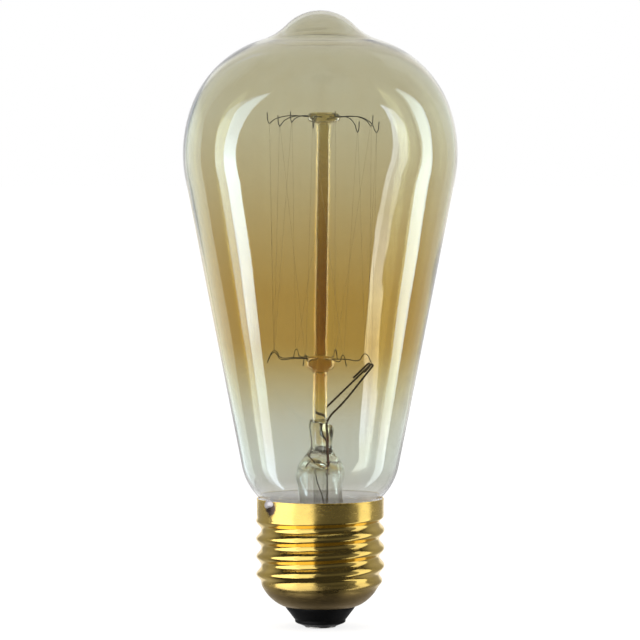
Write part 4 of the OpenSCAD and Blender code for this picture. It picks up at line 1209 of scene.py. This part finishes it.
class LAMP_OT_stage(LampPiece, bpy.types.Operator):
    """Floor, surroundings, lamps and camera."""

    bl_idname = "lamp.stage"
    bl_label = "Stage"

    # direction from the camera's side in degrees, right positive, and its brightness in gloss
    ROOM = ((-180, 1.0), (-160, 1.0), (-152, 0.36), (-112, 0.30), (-20, 0.26), (-8, 0.17), (5, 0.10),
            (16, 0.09), (52, 0.10), (60, 0.22), (112, 0.30), (152, 0.36), (160, 1.0), (180, 1.0))
    # rows of elevation, then the directions of a panel's left edge, brighter part and right edge,
    # and its brightness
    LEFT = ((-52, -86, -86, -84, 0.54), (-38, -97, -88, -77, 0.54), (-24, -97, -87, -71.5, 0.55),
            (-21.6, -97, -87.2, -72.1, 0.6), (-19, -97, -87.4, -72.7, 0.92),
            (-6, -97.3, -87.2, -73.7, 1.0), (3, -97.5, -87, -74.2, 0.77),
            (14, -97.5, -85.5, -72.5, 0.54), (27, -92.5, -84.5, -69.3, 0.42),
            (38, -80, -76, -66.3, 0.38), (49, -64, -63.6, -63, 0.3))
    RIGHT = ((-45, 95, 95, 97, 0.48), (-34, 92, 92, 103, 0.48), (-24, 90, 90, 107, 0.48),
             (-20.5, 90.8, 90.8, 107.4, 0.53), (-18, 91.3, 91.3, 107.7, 0.95),
             (-15, 92, 92, 108, 1.0), (-6, 93.6, 93.6, 107.8, 0.95), (2, 95, 95, 107.5, 0.82),
             (13, 94.5, 94.5, 109, 0.72), (24, 94.6, 94.6, 110, 0.58), (36, 96, 96, 104, 0.42),
             (44, 96, 96, 97, 0.37))
    REAR_LEFT = ((-26, -150, -144, -121, 0.5), (-14, -155, -149, -119, 0.82),
                 (6, -160, -149, -117, 0.8), (16, -163, -150, -120, 0.2), (50, -163, -150, -120, 0.1))
    REAR_RIGHT = ((-20, 126, 131, 136, 0.1), (-9, 112, 131, 154, 0.28), (8, 112, 131, 154, 0.36),
                  (20, 112, 131, 154, 0.24), (50, 112, 131, 154, 0.2))
    # the strip behind the glass, in millimetres as seen against the axis: height, left edge, end
    # of its bright part and right edge
    STRIP = ((30.5, 6.0, 6.2, 6.5), (32.1, 7.0, 8.2, 9.4), (33.8, 7.9, 8.9, 9.8),
             (38.3, 8.0, 9.2, 10.5), (46.4, 8.6, 9.6, 11.6), (57.7, 9.2, 10.0, 12.0),
             (66.9, 10.1, 10.7, 12.7), (72.0, 10.3, 11.1, 13.0), (81.2, 11.2, 12.3, 14.4),
             (89.4, 12.8, 13.7, 16.1), (92.4, 13.5, 14.5, 16.7), (95.5, 14.4, 15.4, 17.9),
             (98.6, 14.8, 15.9, 17.9), (101.6, 14.6, 15.7, 17.7), (103.7, 14.3, 15.5, 17.1),
             (106.5, 13.2, 14.2, 15.0), (107.8, 12.2, 12.4, 12.8))
    # height, then the strip's colour, bluest where the amber is deepest, and the share of it
    # that its right part has
    STRIP_GLOW = ((36, (0.085, 0.085, 0.085), 0.7), (53, (0.14, 0.16, 0.30), 0.7),
                  (67, (0.20, 0.30, 1.0), 0.75), (85, (0.098, 0.128, 0.27), 0.55),
                  (99, (0.086, 0.108, 0.21), 0.65))

    def execute(self, context):
        look = context.scene.lamp_stage
        context.scene.view_settings.view_transform = "Standard"
        self.floor()
        self.surroundings(context)
        blue, green, plain = (0.62, 0.80, 1.0), (0.74, 0.92, 1.0), (1.0,) * 3
        self.panel("Left strip", self.LEFT, (0.3, 1.0), look.left_light, blue, GLASS_GROUP)
        self.panel("Right strip", self.RIGHT, (1.0, 1.0), look.right_light, green, GLASS_GROUP)
        self.back_strip(context, look)
        for name, rows, share in (("Rear right strip", self.REAR_RIGHT, 0.45),
                                  ("Rear left strip", self.REAR_LEFT, 0.5)):
            self.panel(name, rows, (share, 1.0), look.rear_light, green, GLASS_GROUP)
        for name, far, left, right, share in (
                ("Cap light far left", -60, -98, -50, 1.7), ("Cap light left", -50, -50, -12, 1.0),
                ("Cap light right", 76, 74, 103, 0.95)):
            rows = [(e, x, x, right, 1) for e, x in ((-60, far), (-14, left), (14, left), (50, far))]
            self.panel(name, rows, (1.0, 1.0), look.cap_light * share, plain, CAP_GROUP)
        self.panel("Neck light", ((22, -40, -40, 40, 1), (60, -40, -40, 40, 1)), (1.0, 1.0),
                   look.neck_light, (0.92, 0.95, 1.0), NECK_GROUP)
        for name, way in (("Rod light left", -107.5), ("Rod light right", 107.5)):
            self.rod_light(name, math.radians(way), look.rod_light)
        self.camera(context, look)
        return {"FINISHED"}

    def panel(self, name, rows, share, strength, colour, group):
        """A light panel 1.2 m away. A direction and an elevation meet its plane at the distance
        times the tangent of the angle from the middle, and at the distance times the tangent
        of the elevation over the cosine of that angle. Its outline and its brightness go by
        the rows. The glass shows its panels as mirror images only, never straight through its
        walls, and what the neck's panel lights is shaded by the same pieces only."""
        far, eye_z, margin = 1.2, 0.08, 1.01
        edges = np.array(rows, dtype=float)
        middle = (edges[:, 1].min() + edges[:, 3].max()) / 2
        across = far * np.tan(np.radians(edges[:, 1:4] - middle))
        up = far * np.tan(np.radians(edges[:, 0])) / np.cos(np.radians(edges[:, 2] - middle))
        wide, low, high = 2 * margin * np.abs(across).max(), up.min(), up.max()
        m = math.radians(middle)
        at = (far * math.sin(m), -far * math.cos(m), eye_z + (low + high) / 2)
        lamp = area_lamp(name, wide, high - low, strength, at, group)
        lamp.data.color = colour
        places = (up - low) / (high - low)
        n, v, first, second = lamp_outline(lamp, places, 0.5 + across / wide, "GREATER_THAN")
        level = n.times(n.plus(n.times(first, share[0]), n.times(second, share[1])),
                        n.greys(v, list(zip(places, edges[:, 4]))))
        if group == GLASS_GROUP:
            mirrored = n.add("ShaderNodeLightPath").outputs["Glossy Depth"]
            level = n.times(level, n.math("GREATER_THAN", mirrored, 0.5))
        finish_lamp(n, {"Strength": level})
        if group == NECK_GROUP:
            lamp.light_linking.blocker_collection = lit_group(group)

    def rod_light(self, name, way, strength):
        """A slender upright strip close beside the rod, inside the glass. Only the rod mirrors
        it, as a bright line along its edge."""
        wide, high, off, z = 4.3 * MM, 63 * MM, 9 * MM, 73.5 * MM
        at = (off * math.sin(way), -off * math.cos(way), z)
        area_lamp(name, wide, high, strength, at, ROD_GROUP).visible_camera = False

    def back_strip(self, context, look):
        """A narrow light strip behind the glass. A ray that passes the axis at a distance x
        leaves the two walls turned outwards by twice the difference of its bends at the inner
        and the outer surface: a bend is asin(x / r) - asin(x / (1.5 r)) at a surface of radius
        r. The strip's edges are moved by that angle, so that they show where STRIP puts them."""
        g, _, cap, _ = self.settings(context)
        far, eye = 100.0, look.distance / MM
        rows = np.array(self.STRIP)
        outline = glass_line(g, cap, 0)[::-1]
        r = np.interp(rows[:, 0], outline[:, 1], outline[:, 0])[:, None]
        x = rows[:, 1:]
        bend = lambda radius: np.arcsin(x / radius) - np.arcsin(x / (1.5 * radius))
        turn = 2 * (bend(r - g["wall"]) - bend(r))
        across = (x * (1 + far / eye) + far * np.tan(turn)) * MM
        eye_z = LOOKED_AT[2] + eye * math.sin(look.elevation)
        up = lambda z: (z + far * (z - eye_z) / eye) * MM
        low, high, wide = up(rows[0, 0]), up(rows[-1, 0]), 1.1 * across.max()
        place = lambda z: (up(z) - low) / (high - low)
        lamp = area_lamp("Back strip", wide, high - low, look.back_strip,
                         (wide / 2, far * MM, (low + high) / 2), GLASS_GROUP, target_x=wide / 2)
        lamp.visible_camera = False
        n, v, bright, dim = lamp_outline(lamp, place(rows[:, 0]), 1 - across / wide, "LESS_THAN")
        colour = n.ramp(v, [(place(z), tone) for z, tone, share in self.STRIP_GLOW])
        share = n.greys(v, [(place(z), share) for z, tone, share in self.STRIP_GLOW])
        finish_lamp(n, {"Color": colour, "Strength": n.plus(n.times(dim, share), bright)})

    def floor(self):
        """A wide pale floor that stays white to the camera and keeps a soft shadow."""
        r, corners = 3.0, 64
        a = np.linspace(0, 2 * np.pi, corners, endpoint=False)
        points = np.stack([r * np.cos(a), r * np.sin(a), 0 * a], 1)
        mesh = bpy.data.meshes.new("Floor")
        mesh.from_pydata(points.tolist(), [], [list(range(corners))])
        floor = bpy.data.objects.new("Floor", mesh)
        bpy.context.scene.collection.objects.link(floor)
        mat, n = material("Pale floor")
        grain = n.noise(n.place()[0], 40.0, 3.0)
        colour = n.mix(n.grey(grain, 0.0, 0.3, 0.4, 0.7), (0.80, 0.80, 0.80), (0.76, 0.76, 0.76))
        matte = n.add("ShaderNodeBsdfDiffuse", {"Color": colour}).outputs[0]
        seen = n.add("ShaderNodeLightPath").outputs["Is Camera Ray"]
        glow = n.glow({"Strength": n.times(seen, 0.80)})
        both = n.add("ShaderNodeAddShader", {0: matte, 1: glow}).outputs[0]
        mesh.materials.append(finished(mat, n, both))
        floor.visible_glossy = False
        floor.visible_transmission = False

    def surroundings(self, context):
        """White to the eye and through glass; in gloss a room whose brightness goes by direction,
        and steeply up or down nearly dark except behind; for soft light a plain pale level."""
        world = bpy.data.worlds.new("Room")
        context.scene.world = world
        world.use_nodes = True
        n = Nodes(world.node_tree)
        x, y, z = n.parts(n.add("ShaderNodeTexCoord").outputs["Generated"])
        turn = n.math("ARCTAN2", x, n.times(y, -1.0))
        turn = n.plus(n.times(turn, 1 / (2 * math.pi)), 0.5)
        room = n.greys(turn, [((a + 180) / 360, level) for a, level in self.ROOM])
        steep = n.grey(n.math("ABSOLUTE", z), 0.0, 1.0, 0.32, 0.72)
        behind = n.grey(y, 0.0, 1.0, 0.25, 0.6)
        room = n.mix(steep, room, n.mix(behind, (0.04, 0.04, 0.04), (0.42, 0.42, 0.42)))
        path = n.add("ShaderNodeLightPath").outputs
        colour = n.mix(path["Is Glossy Ray"], (0.42, 0.42, 0.42), room)
        shown = n.math("MAXIMUM", path["Is Camera Ray"], path["Is Transmission Ray"])
        colour = n.mix(shown, colour, (1.0, 1.0, 1.0))
        back = n.add("ShaderNodeBackground", {"Color": colour, "Strength": 1.0})
        n.add("ShaderNodeOutputWorld", {"Surface": back.outputs[0]})

    def camera(self, context, look):
        """The photograph's view: from the front, a little above the middle of the lamp."""
        data = bpy.data.cameras.new("Camera")
        data.sensor_width = 36.0
        data.lens = data.sensor_width * look.distance / (PICTURE_SIDE / PICTURE_SCALE * MM)
        data.clip_start = 0.01
        camera = bpy.data.objects.new("Camera", data)
        context.scene.collection.objects.link(camera)
        target = Vector([v * MM for v in LOOKED_AT])
        way = Vector((0, -math.cos(look.elevation), math.sin(look.elevation)))
        camera.location = target + look.distance * way
        aim(camera, target)
        context.scene.camera = camera


class LAMP_PT_panel(bpy.types.Panel):
    """The lamp's pieces and settings."""

    bl_idname = "LAMP_PT_panel"
    bl_label = "Filament lamp"
    bl_space_type = "VIEW_3D"
    bl_region_type = "UI"
    bl_category = "Lamp"

    def draw(self, context):
        layout = self.layout
        for operator in OPERATORS:
            layout.operator(operator.bl_idname)
        for group in (context.scene.lamp_glass, context.scene.lamp_mount, context.scene.lamp_cap,
                      context.scene.lamp_colours, context.scene.lamp_stage):
            box = layout.box()
            for name in group.bl_rna.properties.keys():
                if name not in ("rna_type", "name"):
                    box.prop(group, name)


OPERATORS = (LAMP_OT_stage, LAMP_OT_envelope, LAMP_OT_stem, LAMP_OT_rod, LAMP_OT_hooks,
             LAMP_OT_filament, LAMP_OT_leads, LAMP_OT_cap)
GROUPS = {"lamp_glass": LampGlassSizes, "lamp_mount": LampMountSizes, "lamp_cap": LampCapSizes,
          "lamp_colours": LampColours, "lamp_stage": LampStageSettings}


def register():
    for cls in (*GROUPS.values(), *OPERATORS, LAMP_PT_panel):
        bpy.utils.register_class(cls)
    for name, group in GROUPS.items():
        setattr(bpy.types.Scene, name, PointerProperty(type=group))


def unregister():
    for name in GROUPS:
        delattr(bpy.types.Scene, name)
    for cls in reversed((*GROUPS.values(), *OPERATORS, LAMP_PT_panel)):
        bpy.utils.unregister_class(cls)


def main():
    register()
    for operator in OPERATORS:
        area, name = operator.bl_idname.split(".")
        if getattr(getattr(bpy.ops, area), name)() != {"FINISHED"}:
            raise RuntimeError(operator.bl_label + " did not finish")


if __name__ == "__main__":
    main()
